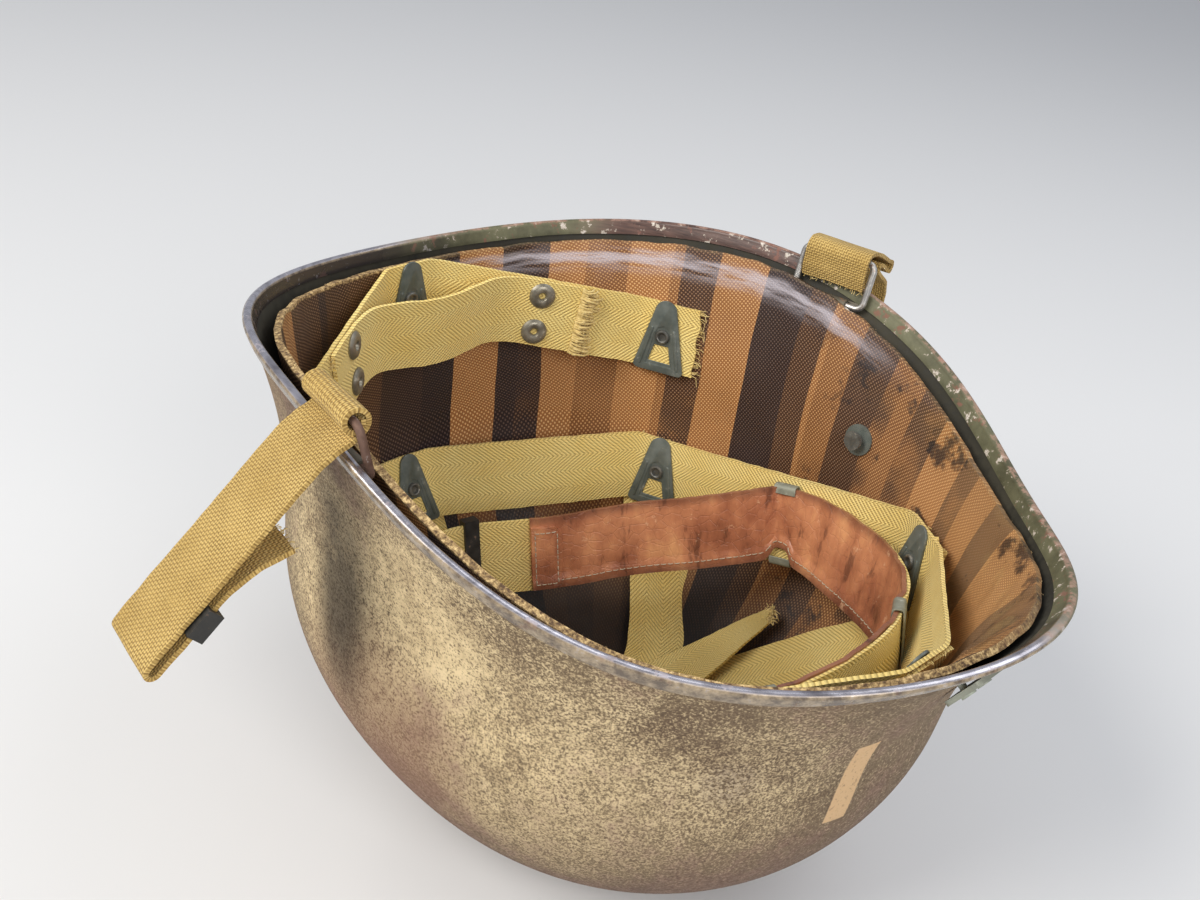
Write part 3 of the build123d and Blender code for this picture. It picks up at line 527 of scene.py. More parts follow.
# %% Shell paint
def shell_paint():
    finish = Finish("shell_paint", specular_ior_level=0.28)
    where = finish.place()
    x, _, z = finish.parts_of(where)
    sand = finish.mottle(where, 1500.0, 2.0, 0.65)
    crumbs = finish.mottle(where, 950.0, 2.0, 0.65)
    clumps = finish.mottle(where, 210.0, 3.0, 0.6)
    wide = finish.mottle(where, 30.0, 4.0, 0.6)
    broad = finish.mottle(where, 11.0, 3.0, 0.55)
    worn = finish.near(where, (-20, -104, 110), 70)
    for spot, reach, much in WORN_SPOTS:
        worn = worn.most(finish.near(where, spot, reach) * much)
    ground = finish.ramp(broad * 0.55 + wide * 0.45, (0.34, (0.130, 0.086, 0.050)),
                         (0.50, (0.205, 0.148, 0.084)), (0.66, (0.285, 0.215, 0.120)))
    tips = sand * 0.5 + crumbs * 0.38 + clumps * 0.12
    tan = finish.ramp(wide * 0.5 + clumps * 0.5, (0.35, (0.50, 0.375, 0.205)), (0.62, (0.82, 0.65, 0.375)))
    # Less tan toward the visor: painted shade on the end away from the large lamp.
    tan_share = tips + worn * 0.075 + (wide - 0.5) * 0.12 - x.step(0.02, 0.10) * 0.035 - 0.03
    colour = finish.mix(tan_share.step(0.43, 0.60) * 0.88, ground, tan)
    dark_pits = tips.step(0.37, 0.47, 1.0, 0.0)
    colour = finish.mix(dark_pits * 0.45, colour, (0.062, 0.043, 0.030))
    low = z.step(0.005, 0.105, 1.0, 0.0)
    rear = x.step(-0.12, 0.03, 1.0, 0.0)
    rust_share = ((wide * 0.55 + broad * 0.35 + clumps * 0.22 + low * 0.16 + rear * low * 0.16 - worn * 0.10)
                  .step(0.50, 0.68))
    rust = finish.ramp(crumbs * 0.6 + clumps * 0.4, (0.36, (0.095, 0.050, 0.038)),
                       (0.64, (0.27, 0.165, 0.118)))
    colour = finish.mix(rust_share * 0.8, colour, rust)
    # Darker patches, plus painted shade toward the visor and a darker tone low on the bowl.
    bruise = (broad * 0.5 + finish.mottle(where, 24.0, 3.0, 0.55) * 0.5 - worn * 0.05).step(0.54, 0.66)
    colour = finish.mix(bruise * 0.22 + x.step(0.03, 0.12) * 0.18 + low * 0.3, colour, (0.085, 0.050, 0.040))
    colour = finish.mix(finish.near(where, (-10, -105, 72), 55) * 0.45, colour, (0.30, 0.150, 0.095))
    # A paler speckled streak on the front-left, beside the bar.
    pale_streak = finish.near(where, (96.8, -62.8, 103.8), 13) * crumbs.step(0.4, 0.6)
    colour = finish.mix(pale_streak * 0.5, colour, (0.44, 0.35, 0.24))
    run_down = finish.scaled(where, (1.0, 1.0, 0.36))
    stain = (finish.near(run_down, (-27.0, -106.0, 42.0), 24)
             * finish.mottle(where, 60.0).step(0.2, 0.5, 0.55, 1.0))
    colour = finish.mix(stain * 0.85, colour, (0.024, 0.017, 0.011))
    rough_edge = (crumbs - 0.5) * BAR_ROUGH
    along = finish.past_line(where, BAR_SPOT, BAR_RUN).size() + rough_edge
    across = finish.past_line(where, BAR_SPOT, BAR_SIDE).size() + rough_edge
    bar = (along.step(BAR_HALF_LONG, BAR_HALF_LONG + BAR_SOFT, 1.0, 0.0)
           * across.step(BAR_HALF_WIDE, BAR_HALF_WIDE + BAR_SOFT, 1.0, 0.0) * x.over(0.0))
    colour = finish.mix(bar * crumbs.step(0.3, 0.42, 0.45, 1.0), colour, (0.60, 0.40, 0.215))
    return finish.end(colour, roughness=tips.step(0.4, 0.6, 0.9, 0.66),
                      height=sand * 0.45 + crumbs * 0.75 + clumps * 0.4, deep=0.40, strength=0.9)


WORN_SPOTS = (((55, -88, 88), 85, 0.85), ((95, -62, 100), 50, 0.8), ((18, -108, 130), 48, 1.3))
BAR_SPOT = Vector((113.5, -24.5, 95.0)) * MM
BAR_RUN = Vector((5.0, 1.0, 30.4)).normalized()
BAR_SIDE = Vector((-0.213, -0.977, 0.0)).normalized()
BAR_HALF_LONG, BAR_HALF_WIDE, BAR_SOFT, BAR_ROUGH = (length * MM for length in (16.8, 4.2, 0.5, 1.2))
SHELL_PAINT = shell_paint()
print("shell paint,", len(SHELL_PAINT.node_tree.nodes), "nodes")

# %% [markdown]
# ## Steel that hands have polished
# The rim band is bare and bright where the helmet was handled, on the wearer's left, and still carries
# olive paint with pale and rusty chips on the far side, brown in the middle. On the near side its inner
# flank is near-black, which is painted shade. One mask from the Y coordinate chooses between the sides,
# and the UV map tells the fold from the flanks.

# %% Rim steel
def rim_steel():
    finish = Finish("rim_steel", specular_ior_level=0.5)
    where = finish.place()
    x, y, _ = finish.parts_of(where)
    chips = finish.mottle(where, 230.0, 4.0, 0.7)
    streaks = finish.mottle(finish.scaled(where, (1, 1, 9)), 150.0, 3.0)
    _, v = finish.flat_place()
    fold = v.step(5.0, 5.9) * v.step(8.0, 8.8, 1.0, 0.0)
    inner = v.step(9.0, 9.8)
    patches = finish.mottle(where, 42.0, 3.0, 0.6)
    far = (y + (patches - 0.5) * 0.05).step(-0.012, 0.03)
    bare = ((1 - far) * (fold + chips.step(0.60, 0.68) * 0.35).least(1.0)).most(far * chips.step(0.585, 0.63))
    steel = finish.ramp(streaks * 0.6 + patches * 0.4, (0.32, (0.26, 0.24, 0.26)), (0.56, (0.66, 0.63, 0.67)))
    olive = finish.ramp(patches * 0.6 + chips * 0.4, (0.35, (0.075, 0.072, 0.036)),
                        (0.65, (0.19, 0.185, 0.10)))
    brown = finish.ramp(patches * 0.5 + streaks * 0.5, (0.35, (0.045, 0.026, 0.022)),
                        (0.60, (0.15, 0.085, 0.066)))
    middle = far * x.step(-0.118, -0.100) * x.step(-0.032, -0.012, 1.0, 0.0)
    # The outer flank keeps worn tan paint; the inner flank is near-black, which is painted shade.
    flank_with_inner_shade = finish.mix(inner, finish.ramp(chips, (0.38, (0.11, 0.080, 0.055)), (0.62, (0.36, 0.28, 0.18))),
                       (0.040, 0.034, 0.032))
    # On the near side, paint holds the painted shade of the inner flank as well as the paint.
    paint = finish.mix(far, flank_with_inner_shade, finish.mix(middle, olive, brown))
    chipped = finish.ramp(chips, (0.60, (0.50, 0.42, 0.33)), (0.74, (0.78, 0.73, 0.66)))
    colour = finish.mix(bare, paint, finish.mix(far, steel, chipped))
    rust = (finish.mottle(where, 130.0, 4.0, 0.7) + far * 0.03).step(0.60, 0.67)
    colour = finish.mix(rust * (far * 0.55 + 0.2), colour, (0.27, 0.12, 0.085))
    colour = finish.mix(far * fold * chips.step(0.42, 0.56) * 0.7, colour, (0.40, 0.235, 0.175))
    return finish.end(colour, roughness=far.step(0.0, 1.0, 0.27, 0.58) + rust * 0.25 - middle * 0.22,
                      metallic=bare * (1 - far) * (1 - rust * 0.5) * 0.95,
                      height=chips * 0.5 * far + streaks * 0.25, deep=0.10)


RIM_STEEL = rim_steel()
print("rim steel,", len(RIM_STEEL.node_tree.nodes), "nodes")

# %% [markdown]
# ## Small metals
# Washers, rivets, snaps, wires and buckles are each one metal or one paint that has worn a little. One
# function makes them all: two tones mixed by noise, and a third where the noise is highest. It also makes
# the near-black inside of the steel shell, which is painted shade.

# %% Small metals
def small_metal(name, tones, roughness, metallic, wear=None, scale=300.0, deep=0.06, wear_at=(0.6, 0.7)):
    """Painted or bare small metal: two tones, and a third where it has worn."""
    finish = Finish(name, specular_ior_level=0.5)
    where = finish.place()
    fine = finish.mottle(where, scale, 4.0, 0.65)
    broad = finish.mottle(where, scale / 6, 2.0)
    colour = finish.ramp(fine * 0.5 + broad * 0.5, (0.35, tones[0]), (0.65, tones[1]))
    worn = fine.step(*wear_at)
    if wear:
        colour = finish.mix(worn, colour, wear)
    return finish.end(colour, roughness=fine.step(0.3, 0.7, roughness - 0.1, roughness + 0.12),
                      metallic=metallic, height=fine + broad * 0.5, deep=deep)


WASHER_PAINT = small_metal("washer_paint", ((0.085, 0.102, 0.090), (0.17, 0.185, 0.162)), 0.38, 0.15,
                           (0.30, 0.30, 0.26), 220.0, wear_at=(0.62, 0.74))
RIVET_METAL = small_metal("rivet_metal", ((0.10, 0.10, 0.09), (0.24, 0.235, 0.21)), 0.45, 0.6,
                          (0.36, 0.33, 0.27))
SNAP_METAL = small_metal("snap_metal", ((0.16, 0.145, 0.11), (0.36, 0.33, 0.26)), 0.40, 0.6,
                         (0.52, 0.48, 0.38))
WIRE_RUST = small_metal("wire_rust", ((0.10, 0.055, 0.04), (0.23, 0.135, 0.095)), 0.6, 0.35,
                        (0.45, 0.41, 0.38), 380.0, 0.15)
WIRE_STEEL = small_metal("wire_steel", ((0.36, 0.34, 0.31), (0.66, 0.64, 0.60)), 0.36, 0.85,
                         (0.24, 0.14, 0.09), 240.0, 0.08)
BRACKET_STEEL = small_metal("bracket_steel", ((0.10, 0.085, 0.06), (0.19, 0.165, 0.12)), 0.6, 0.4,
                            (0.28, 0.16, 0.10))
PLATE_METAL = small_metal("plate_metal", ((0.20, 0.20, 0.16), (0.42, 0.45, 0.37)), 0.5, 0.3,
                          (0.55, 0.58, 0.50), 130.0)
BUCKLE_BLACK = small_metal("buckle_black", ((0.018, 0.018, 0.017), (0.05, 0.048, 0.043)), 0.5, 0.3,
                           (0.20, 0.13, 0.09), 260.0)
# Near-black for the inside of the steel shell: painted shade in the gap between shell and liner.
SHELL_INSIDE_SHADE = small_metal("shell_inside_painted_shade", ((0.020, 0.018, 0.012), (0.055, 0.048, 0.030)), 0.75, 0.0)
CLIP_METAL = small_metal("clip_metal", ((0.18, 0.185, 0.14), (0.34, 0.34, 0.26)), 0.5, 0.2,
                         (0.44, 0.44, 0.36))
print("small metals, so that there are now", len(bpy.data.materials), "finishes")

# %% [markdown]
# ## Cloth in threads
# Three weaves show. The suspension webbing is a herringbone twill: diagonal ribs that change direction in
# lanes. The chinstraps are a square basket weave. The liner is plain duck laid on the bias and soaked in
# brown resin, striped where the pieces of cloth overlap. Each is worked out from the UV map, which is in
# millimetres.

# %% Weaves
LANE, RIB_PITCH, YARN_PITCH, BASKET_PITCH = 7.0, 1.8, 0.72, 1.9


def herringbone(name, low, high, groove_shade_and_soil):
    """Twill: diagonal ribs that turn at each lane, and yarns along the strip."""
    finish = Finish(name, specular_ior_level=0.12, sheen_weight=0.08)
    where = finish.place()
    u, v = finish.flat_place()
    waver = (finish.mottle(where, 170.0, 2.0) - 0.5) * 0.8
    ribs = ((u + v.fold(LANE) * 1.15 + waver) * (math.tau / RIB_PITCH)).wave()
    yarn = ((v + waver * 0.3) * (math.tau / YARN_PITCH)).wave()
    dirt = finish.mottle(where, 38.0, 4.0, 0.6)
    fluff = finish.mottle(where, 1500.0, 2.0, 0.6)
    colour = finish.ramp(dirt * 0.65 + fluff * 0.35, (0.32, low), (0.68, high))
    shade = (ribs * 0.5 + 0.5).step(0.0, 0.42, 1.0, 0.0) * 0.85 + (yarn * 0.5 + 0.5).step(0.0, 0.5, 0.15, 0.0)
    colour = finish.mix(shade * (0.65 + fluff * 0.3), colour, groove_shade_and_soil)
    soil = finish.mottle(where, 14.0, 3.0, 0.6).step(0.55, 0.75)
    colour = finish.mix(soil * 0.22, colour, groove_shade_and_soil)
    return finish.end(colour, roughness=0.92, height=ribs * 0.5 + yarn * 0.22 + fluff * 0.5, deep=0.28)


def basket(name, low, high, groove_shade_and_soil):
    """Square weave: pairs of yarns go over and under each other."""
    finish = Finish(name, specular_ior_level=0.12, sheen_weight=0.08)
    where = finish.place()
    u, v = finish.flat_place()
    waver = (finish.mottle(where, 150.0, 2.0) - 0.5) * 0.7
    a = ((u + waver) * (math.tau / BASKET_PITCH)).wave()
    b = ((v + waver) * (math.tau / BASKET_PITCH)).wave()
    turns = (a * b).step(-0.25, 0.25)
    fine_a = ((u + waver * 0.5) * (math.tau * 2 / BASKET_PITCH)).wave() * 0.5 + 0.5
    fine_b = ((v + waver * 0.5) * (math.tau * 2 / BASKET_PITCH)).wave() * 0.5 + 0.5
    height = fine_b * turns + fine_a * (1 - turns) + (a * b).size() * 0.8
    dirt = finish.mottle(where, 45.0, 4.0, 0.6)
    fluff = finish.mottle(where, 1300.0, 2.0, 0.6)
    colour = finish.ramp(dirt * 0.6 + fluff * 0.4, (0.32, low), (0.68, high))
    # Low parts of the weave take the groove colour: painted shade between the yarns.
    colour = finish.mix(height.step(0.15, 1.15, 0.95, 0.0), colour, groove_shade_and_soil)
    soil = finish.mottle(where, 20.0, 3.0, 0.6).step(0.56, 0.74)
    # Soil uses the same darker colour, as real dirt.
    colour = finish.mix(soil * 0.4, colour, groove_shade_and_soil)
    return finish.end(colour, roughness=0.94, height=height * 0.6 + fluff * 0.4, deep=0.42)


def yarn(name, low, high):
    finish = Finish(name, specular_ior_level=0.1, sheen_weight=0.2)
    fluff = finish.mottle(finish.place(), 700.0, 3.0)
    return finish.end(finish.ramp(fluff, (0.35, low), (0.65, high)), roughness=0.95, height=fluff, deep=0.1)


WEBBING = herringbone("webbing", (0.90, 0.65, 0.20), (0.98, 0.80, 0.34), (0.38, 0.26, 0.075))
NECK_WEBBING = herringbone("neck_webbing", (0.97, 0.69, 0.20), (1.0, 0.83, 0.34), (0.44, 0.28, 0.08))
STRAP_WEBBING = basket("strap_webbing", (0.56, 0.37, 0.11), (0.84, 0.60, 0.22), (0.25, 0.145, 0.04))
LOOSE_YARN = yarn("loose_yarn", (0.55, 0.40, 0.14), (0.80, 0.62, 0.27))
RAW_YARN = yarn("raw_yarn", (0.20, 0.12, 0.05), (0.50, 0.36, 0.18))
STITCH_YARN = yarn("stitch_yarn", (0.42, 0.35, 0.24), (0.62, 0.54, 0.40))
print("webbing and yarns, so that there are now", len(bpy.data.materials), "finishes")

# %% Liner cloth set in resin
def liner_resin():
    finish = Finish("liner_resin", specular_ior_level=0.5, coat_roughness=0.16)
    where = finish.place()
    x, y, z = finish.parts_of(where)
    u, v = finish.flat_place()
    waver = (finish.mottle(where, 110.0, 2.0) - 0.5) * 0.7
    first = ((u * 0.86 + v * 0.50 + waver) * (math.tau / 1.2)).wave()
    second = ((v * 0.86 - u * 0.50 + waver) * (math.tau / 1.2)).wave()
    knots = first * 0.5 + second * 0.5 + (first * second) * 0.3
    sway = (finish.mottle(where, 15.0, 2.0) - 0.5) * 5.0

    def stripes(across):
        """Three numbers for each stripe of cloth, drawn by chance."""
        gores = {"voronoi_dimensions": "1D"}
        return finish.parts_of(finish.node("TexVoronoi", gores, {"W": across, "Scale": 1.0}, 1))

    tone = stripes((u + sway) / 17.0)[0]
    thin = stripes((u + sway * 0.8) / 31.0 + 7.0)[1]
    tone = tone * 0.7 + thin * 0.3 + (finish.mottle(where, 55.0, 3.0) - 0.5) * 0.16
    # Each stripe tone twice: ground between the threads, darker as painted shade, and lit on the thread tops
    # as painted light.
    ground = finish.ramp(tone, (0.0, (0.018, 0.010, 0.010)), (0.28, (0.030, 0.015, 0.012)),
                         (0.31, (0.048, 0.021, 0.012)), (0.48, (0.066, 0.028, 0.014)),
                         (0.51, (0.20, 0.080, 0.028)), (0.75, (0.37, 0.155, 0.050)))
    lit = finish.ramp(tone, (0.0, (0.115, 0.075, 0.062)), (0.27, (0.17, 0.105, 0.078)),
                      (0.31, (0.27, 0.155, 0.088)), (0.47, (0.36, 0.205, 0.11)),
                      (0.51, (0.70, 0.38, 0.15)), (0.75, (0.92, 0.56, 0.24)))
    knot_share = knots.step(0.0, 0.8)
    colour = finish.mix(knot_share * 0.85, ground, lit)
    # The bottom of the liner near the crown goes near-black: painted shade deep in the bowl.
    floor = z.step(0.022, 0.068, 1.0, 0.0)
    colour = finish.mix(floor * 0.95, colour, (0.008, 0.006, 0.006))
    band = v.step(LINER_UV_TOP - 34.0, LINER_UV_TOP - 6.0)
    far = y.step(-0.02, 0.04)
    worn = ((finish.mottle(where, 48.0, 4.0, 0.65) + band * 0.10).step(0.61, 0.69)
            * (x.step(-0.03, 0.02) * far * 0.8 + 0.05))
    # Lighter orange toward the visor on the far side: painted light where the large lamp falls on the inner
    # wall.
    colour = finish.mix(x.step(0.03, 0.10) * far * (1 - worn) * 0.3, colour, (0.74, 0.41, 0.17))
    colour = finish.mix(worn, colour, (0.016, 0.013, 0.015))
    drawn = finish.drawn_out(u * 0.03, v * 0.25, 4.0, 0.65)
    line = v.step(LINER_UV_TOP - 15, LINER_UV_TOP - 7) * v.step(LINER_UV_TOP - 5, LINER_UV_TOP - 2, 1.0, 0.0)
    # A pale lilac streak just below the far rim: painted reflection of the lamps.
    painted_reflection = (line * far * x.step(-0.15, -0.12) * x.step(-0.01, 0.03, 1.0, 0.0)
                * drawn.step(0.36, 0.62))
    colour = finish.mix(painted_reflection * 0.7, colour, (0.66, 0.61, 0.66))
    edge = v.step(LINER_UV_TOP - 1.5, LINER_UV_TOP - 0.7) * (1 - far * 0.85)
    raw = finish.mottle(where, 700.0, 3.0, 0.7)
    sawn = finish.ramp(raw, (0.38, (0.11, 0.062, 0.030)), (0.52, (0.40, 0.26, 0.11)),
                       (0.66, (0.84, 0.61, 0.29)))
    colour = finish.mix(edge, colour, sawn)
    shine = finish.mottle(where, 26.0, 3.0, 0.6)
    gloss = band * (1 - edge) * far
    roughness = shine.step(0.35, 0.65, 0.42, 0.6) - gloss * 0.12 + (edge + floor) * 0.25
    return finish.end(colour, roughness=roughness,
                      height=knot_share * 0.6 + edge * finish.mottle(where, 800.0, 2.0) * 1.2, deep=0.16,
                      coat=gloss * 0.9 + (1 - edge) * (1 - floor) * 0.10)


LINER_UV_TOP = 185.0
LINER_RESIN = liner_resin()
print("liner resin,", len(LINER_RESIN.node_tree.nodes), "nodes")

# %% [markdown]
# ## Old leather
# The sweatband is vegetable-tanned leather that sweat has darkened to red-brown. It is smooth and
# slightly glossy, with fine pores, dark creases across the strip, pale scrapes, and it is darkest along
# its edges.

# %% Leather
def leather():
    finish = Finish("leather", specular_ior_level=0.5, coat_weight=0.4, coat_roughness=0.3)
    where = finish.place()
    u, v = finish.flat_place()
    cloud = finish.mottle(where, 26.0, 4.0, 0.6)
    creases = finish.drawn_out(u * 0.14, v * 0.045, 4.0, 0.65)
    cracks = finish.node("TexVoronoi", {"feature": "DISTANCE_TO_EDGE"}, {"Vector": where, "Scale": 230.0})
    pores = finish.mottle(where, 1400.0, 2.0)
    colour = finish.ramp(cloud * 0.75 + creases * 0.25, (0.34, (0.19, 0.060, 0.030)),
                         (0.45, (0.40, 0.140, 0.066)), (0.55, (0.62, 0.250, 0.115)),
                         (0.66, (0.86, 0.42, 0.18)))
    dark_edge = (v - SWEAT_MIDDLE).size().step(10.5, 15.0)
    colour = finish.mix(dark_edge * 0.55, colour, (0.085, 0.032, 0.022))
    colour = finish.mix((1 - creases.step(0.33, 0.42)) * 0.5, colour, (0.045, 0.016, 0.010))
    scrapes = finish.mottle(where, 190.0, 4.0, 0.75).step(0.62, 0.7)
    colour = finish.mix(scrapes * 0.5, colour, (0.88, 0.55, 0.33))
    return finish.end(colour, roughness=cloud.step(0.3, 0.7, 0.34, 0.52),
                      height=creases * 1.2 + cracks.step(0.0, 0.06) * 0.25 + pores * 0.25, deep=0.35)


SWEAT_MIDDLE = 15.0
LEATHER = leather()
print("finishes", len(bpy.data.materials))

# %% [markdown]
# ## The steel shell
# The real shell is one pressing of manganese steel, about a millimetre thick, with a grain of paint. A
# grid is laid over the outside of the bowl, slightly uneven as an old pressing is, and gets its wall on
# the inside.

# %% Steel shell
SHELL_COLUMNS, SHELL_ROWS = 192, 96


def shell_place(u, v):
    turn = 360 * u
    point = OUTER.place(turn, v)
    dents = noise.noise(point * 0.028) * 0.35 + noise.noise(point * 0.11) * 0.08
    return point * (1 - dents * 0.002 * min(1, 4 * v) * (1 - v)) if v > 0.1 else point


steel_shell = laid_grid(SHELL_COLUMNS, SHELL_ROWS, shell_place, 720.0, 250.0, wall=SHELL_WALL, offset=-1.0)
dress(steel_shell, "shell_steel", "shell", SHELL_PAINT, ["steel_shell"])
# The inner faces get the near-black finish, which is painted shade between shell and liner.
steel_shell.data.materials.append(SHELL_INSIDE_SHADE)
for face in steel_shell.data.polygons:
    outward = Vector((face.center.x, face.center.y, face.center.z - BOWL_DEPTH * MM))
    face.material_index = 1 if face.normal.dot(outward) < 0 else 0
print("steel shell", len(steel_shell.data.polygons), "faces")

# %% [markdown]
# ## The rim band
# A strip of stainless steel is folded over the raw edge. Its section is a U with a rounded fold, made as
# one sheet from low on the outside, over the edge, to low on the inside, and thickened. Its height
# wanders a little, as a strip that was crimped on by rollers does, and its lower edges lie tight to the
# wall.

# %% Rim band
BAND_WALL, BAND_FIT, BAND_DEPTH, BAND_TUCK = 0.7, 0.35, 4.0, 0.25
BAND_COLUMNS, BAND_ROWS = 288, 24
BAND_FLANK_SHARE, BAND_ARCH_SHARE = 0.3, 0.75


def band_place(u, v):
    turn = 360 * u
    high = along_terms(HEIGHT_TERMS, turn)
    stand = BAND_FIT + BAND_WALL / 2
    deep = BAND_DEPTH + noise.noise(heading(turn, 5, 3)) * BAND_TUCK
    edge = min(v, 1 - v)
    if edge < BAND_FLANK_SHARE:
        below = deep * (1 - edge / BAND_FLANK_SHARE)
        tight = stand - BAND_TUCK * (below / deep) ** 4
        wall, side = (OUTER, 1) if v < 0.5 else (INNER, -1)
        return heading(turn, wall.radius(turn, high - below) + side * tight, high - below)
    swing = math.pi * (v - BAND_FLANK_SHARE) / (1 - 2 * BAND_FLANK_SHARE)
    half = SHELL_WALL / 2 + stand
    middle = OUTER.radius(turn, high) - SHELL_WALL / 2
    return heading(turn, middle + half * math.cos(swing), high + half * BAND_ARCH_SHARE * math.sin(swing))


rim_band = laid_grid(BAND_COLUMNS, BAND_ROWS, band_place, 800.0, 14.0, wall=BAND_WALL)
dress(rim_band, "band_on_rim", "shell", RIM_STEEL, ["rim_band"])
print("rim band", len(rim_band.data.polygons), "faces")

# %% [markdown]
# ## The liner
# The liner is duck cloth cut in gores, dipped in resin and pressed. Its wall is about two millimetres,
# its rim is a raw sawn edge, and age has drawn it into wrinkles at the visor and at the rear corners. The
# grid follows the bowl formula inside the steel and adds those wrinkles as real relief, and loose yarn
# stands out of the edge.

# %% Liner wall
LINER_COLUMNS, LINER_ROWS = 288, 110
WRINKLE_FANS = ((0, 34, 0.9, 7.5), (152, 26, 0.6, 8.5), (-152, 26, 0.6, 8.5))


def wrinkles(turn, share):
    """Relief in millimetres: creases that fan out at the visor and at the rear corners."""
    relief = 0.0
    for middle, reach, tall, pitch in WRINKLE_FANS:
        away = (turn - middle + 180) % 360 - 180
        mask = math.exp(-(away / reach) ** 2) * max(0, min(1, (share - 0.62) / 0.18)) * (1 - 0.4 * share)
        sway = noise.noise(Vector((turn * 0.05, share * 7, middle))) * 9
        crease = math.sin((away + sway * (1.2 - share)) * math.tau / pitch)
        relief += mask * tall * (abs(crease) ** 0.6 * math.copysign(1, crease))
    return relief


def liner_place(u, v):
    turn = 360 * u
    rag = noise.noise(heading(turn, 14, 5)) * 0.7
    point = LINER_IN.place(turn, v, LINER_DROP + (rag if v > 0.9 else 0))
    relief = wrinkles(turn, v) + noise.noise(point * 0.06) * 0.25
    if v > 0.985:
        relief *= 0.4
    return point - heading(turn, relief) if v > 0.2 else point


liner_wall = laid_grid(LINER_COLUMNS, LINER_ROWS, liner_place, 720.0, LINER_UV_TOP, wall=LINER_WALL,
                       offset=1.0)
dress(liner_wall, "liner_wall", "liner", LINER_RESIN, ["liner_shell"])
print("liner wall", len(liner_wall.data.polygons), "faces")

# %% Raw yarn on the liner's edge
YARN_TRIES, YARN_THICK = 420, 0.12
draw = random.Random(11)
edge_paths = []
for _ in range(YARN_TRIES):
    turn = draw.uniform(0, 360)
    amount = 0.35 + 0.65 * max(0, noise.noise(heading(turn, 6, 8)) + 0.45)
    if draw.random() > amount * (0.2 if 15 < turn < 165 else 1.0):
        continue
    top = along_terms(HEIGHT_TERMS, turn) - LINER_DROP
    start = LINER_IN.point(turn, top - 0.4, draw.uniform(0, LINER_WALL))
    reach = draw.uniform(0.2, 0.8) * amount
    along, outward = draw.uniform(-1.6, 1.6), draw.uniform(-0.9, 0.1)
    lean = heading(turn + 90) * along * reach + heading(turn) * outward * reach
    edge_paths.append([start, start + lean * 0.4 + UP * reach * 0.8, start + lean + UP * reach])
dress(threads(edge_paths, YARN_THICK), "liner_yarn", "liner", RAW_YARN)
print("loose yarns on the liner", len(edge_paths))

# %% [markdown]
# ## Washers and rivets
# Every joint of the webbing has a stamped washer: a tapered plate with a rounded top, two ribs down its
# legs, a window at the foot, and a recess with a hollow rivet in it. One is modelled flat at the origin:
# a filled circle is drawn out to the outline and extruded, a recess and the window are cut out of it, its
# edges are bevelled, and two stretched spheres are joined to it as ribs. Nine copies are then set on
# their seats. Rivets and snaps are turned: half a section is spun about the middle.

# %% Seats of the washers
HEAD_TURNS = (0.0, 50.0, 125.0, 180.0, 235.0, 310.0)
NECK_TURNS = (129.0, 180.0, 231.0)
NECK_DROPS = (40.3, 17.0, 40.3)
HEAD_LEVEL, HEAD_TILT = 92.0, 0.2
HEAD_STAND, NECK_STAND, WEB_WALL = 3.0, 1.1, 1.4
WASHER_TALL, WASHER_WIDE, WASHER_WALL = 30.0, 21.0, 1.0
WASHER_TOP_R, WASHER_CORNER_R = 4.6, 1.8
WINDOW = ((-4.7, -10.8), (4.7, -10.8), (3.0, -3.8), (-3.0, -3.8))
RECESS = ((-5.6, -12.2), (5.6, -12.2), (3.6, 0.8), (2.2, 3.6), (0, 4.5), (-2.2, 3.6), (-3.6, 0.8))
RECESS_FLOOR = WASHER_WALL * 0.55
RIB_FOOT, RIB_TOP = (8.0, -12.2), (4.6, 3.0)
RIB_HALF, RIB_TALL = 0.75, 0.45


def head_height(turn):
    height = HEAD_LEVEL
    for _ in range(8):
        height = HEAD_LEVEL + HEAD_TILT * LINER_IN.point(turn, height).x
    return height


HEAD_SEATS = [LINER_IN.seat(turn, head_height(turn)) for turn in HEAD_TURNS]
NECK_SEATS = [LINER_IN.seat(turn, along_terms(HEIGHT_TERMS, turn) - drop)
              for turn, drop in zip(NECK_TURNS, NECK_DROPS)]
print("seats", len(HEAD_SEATS), "on the head band and", len(NECK_SEATS), "on the neck band")

# %% One washer
OUTLINE_POINTS = 96


def washer_outline(turn):
    """Point of the outline that lies furthest in one direction, for a hull of three circles."""
    way = heading(turn).xy
    low, wide = WASHER_CORNER_R - WASHER_TALL / 2, WASHER_WIDE / 2 - WASHER_CORNER_R
    circles = ((Vector((-wide, low)), WASHER_CORNER_R), (Vector((wide, low)), WASHER_CORNER_R),
               (Vector((0, WASHER_TALL / 2 - WASHER_TOP_R)), WASHER_TOP_R))
    middle, radius = max(circles, key=lambda circle: circle[0].dot(way) + circle[1])
    return middle + way * radius


def bevelled(piece, wide, segments=2, angle=30):
    apply_modifier(piece, "BEVEL", width=wide * MM, segments=segments, limit_method="ANGLE",
                   angle_limit=math.radians(angle))


def cut_away(piece, cutter):
    apply_modifier(piece, "BOOLEAN", operation="DIFFERENCE", object=cutter, solver="EXACT")
    bpy.data.objects.remove(cutter)


def prism(corners, low, high):
    """Plate between two heights, from a filled circle whose points are moved to an outline's corners."""
    deselect()
    bpy.ops.mesh.primitive_circle_add(vertices=len(corners), radius=1, fill_type="NGON")
    piece = bpy.context.object
    for vertex, corner in zip(piece.data.vertices, corners):
        vertex.co = Vector((corner[0], corner[1], low)) * MM
    rise = {"TRANSFORM_OT_translate": {"value": (0, 0, (high - low) * MM)}}
    shaped(piece, (bpy.ops.mesh.extrude_region_move, rise),
           (bpy.ops.mesh.normals_make_consistent, {"inside": False}))
    return piece


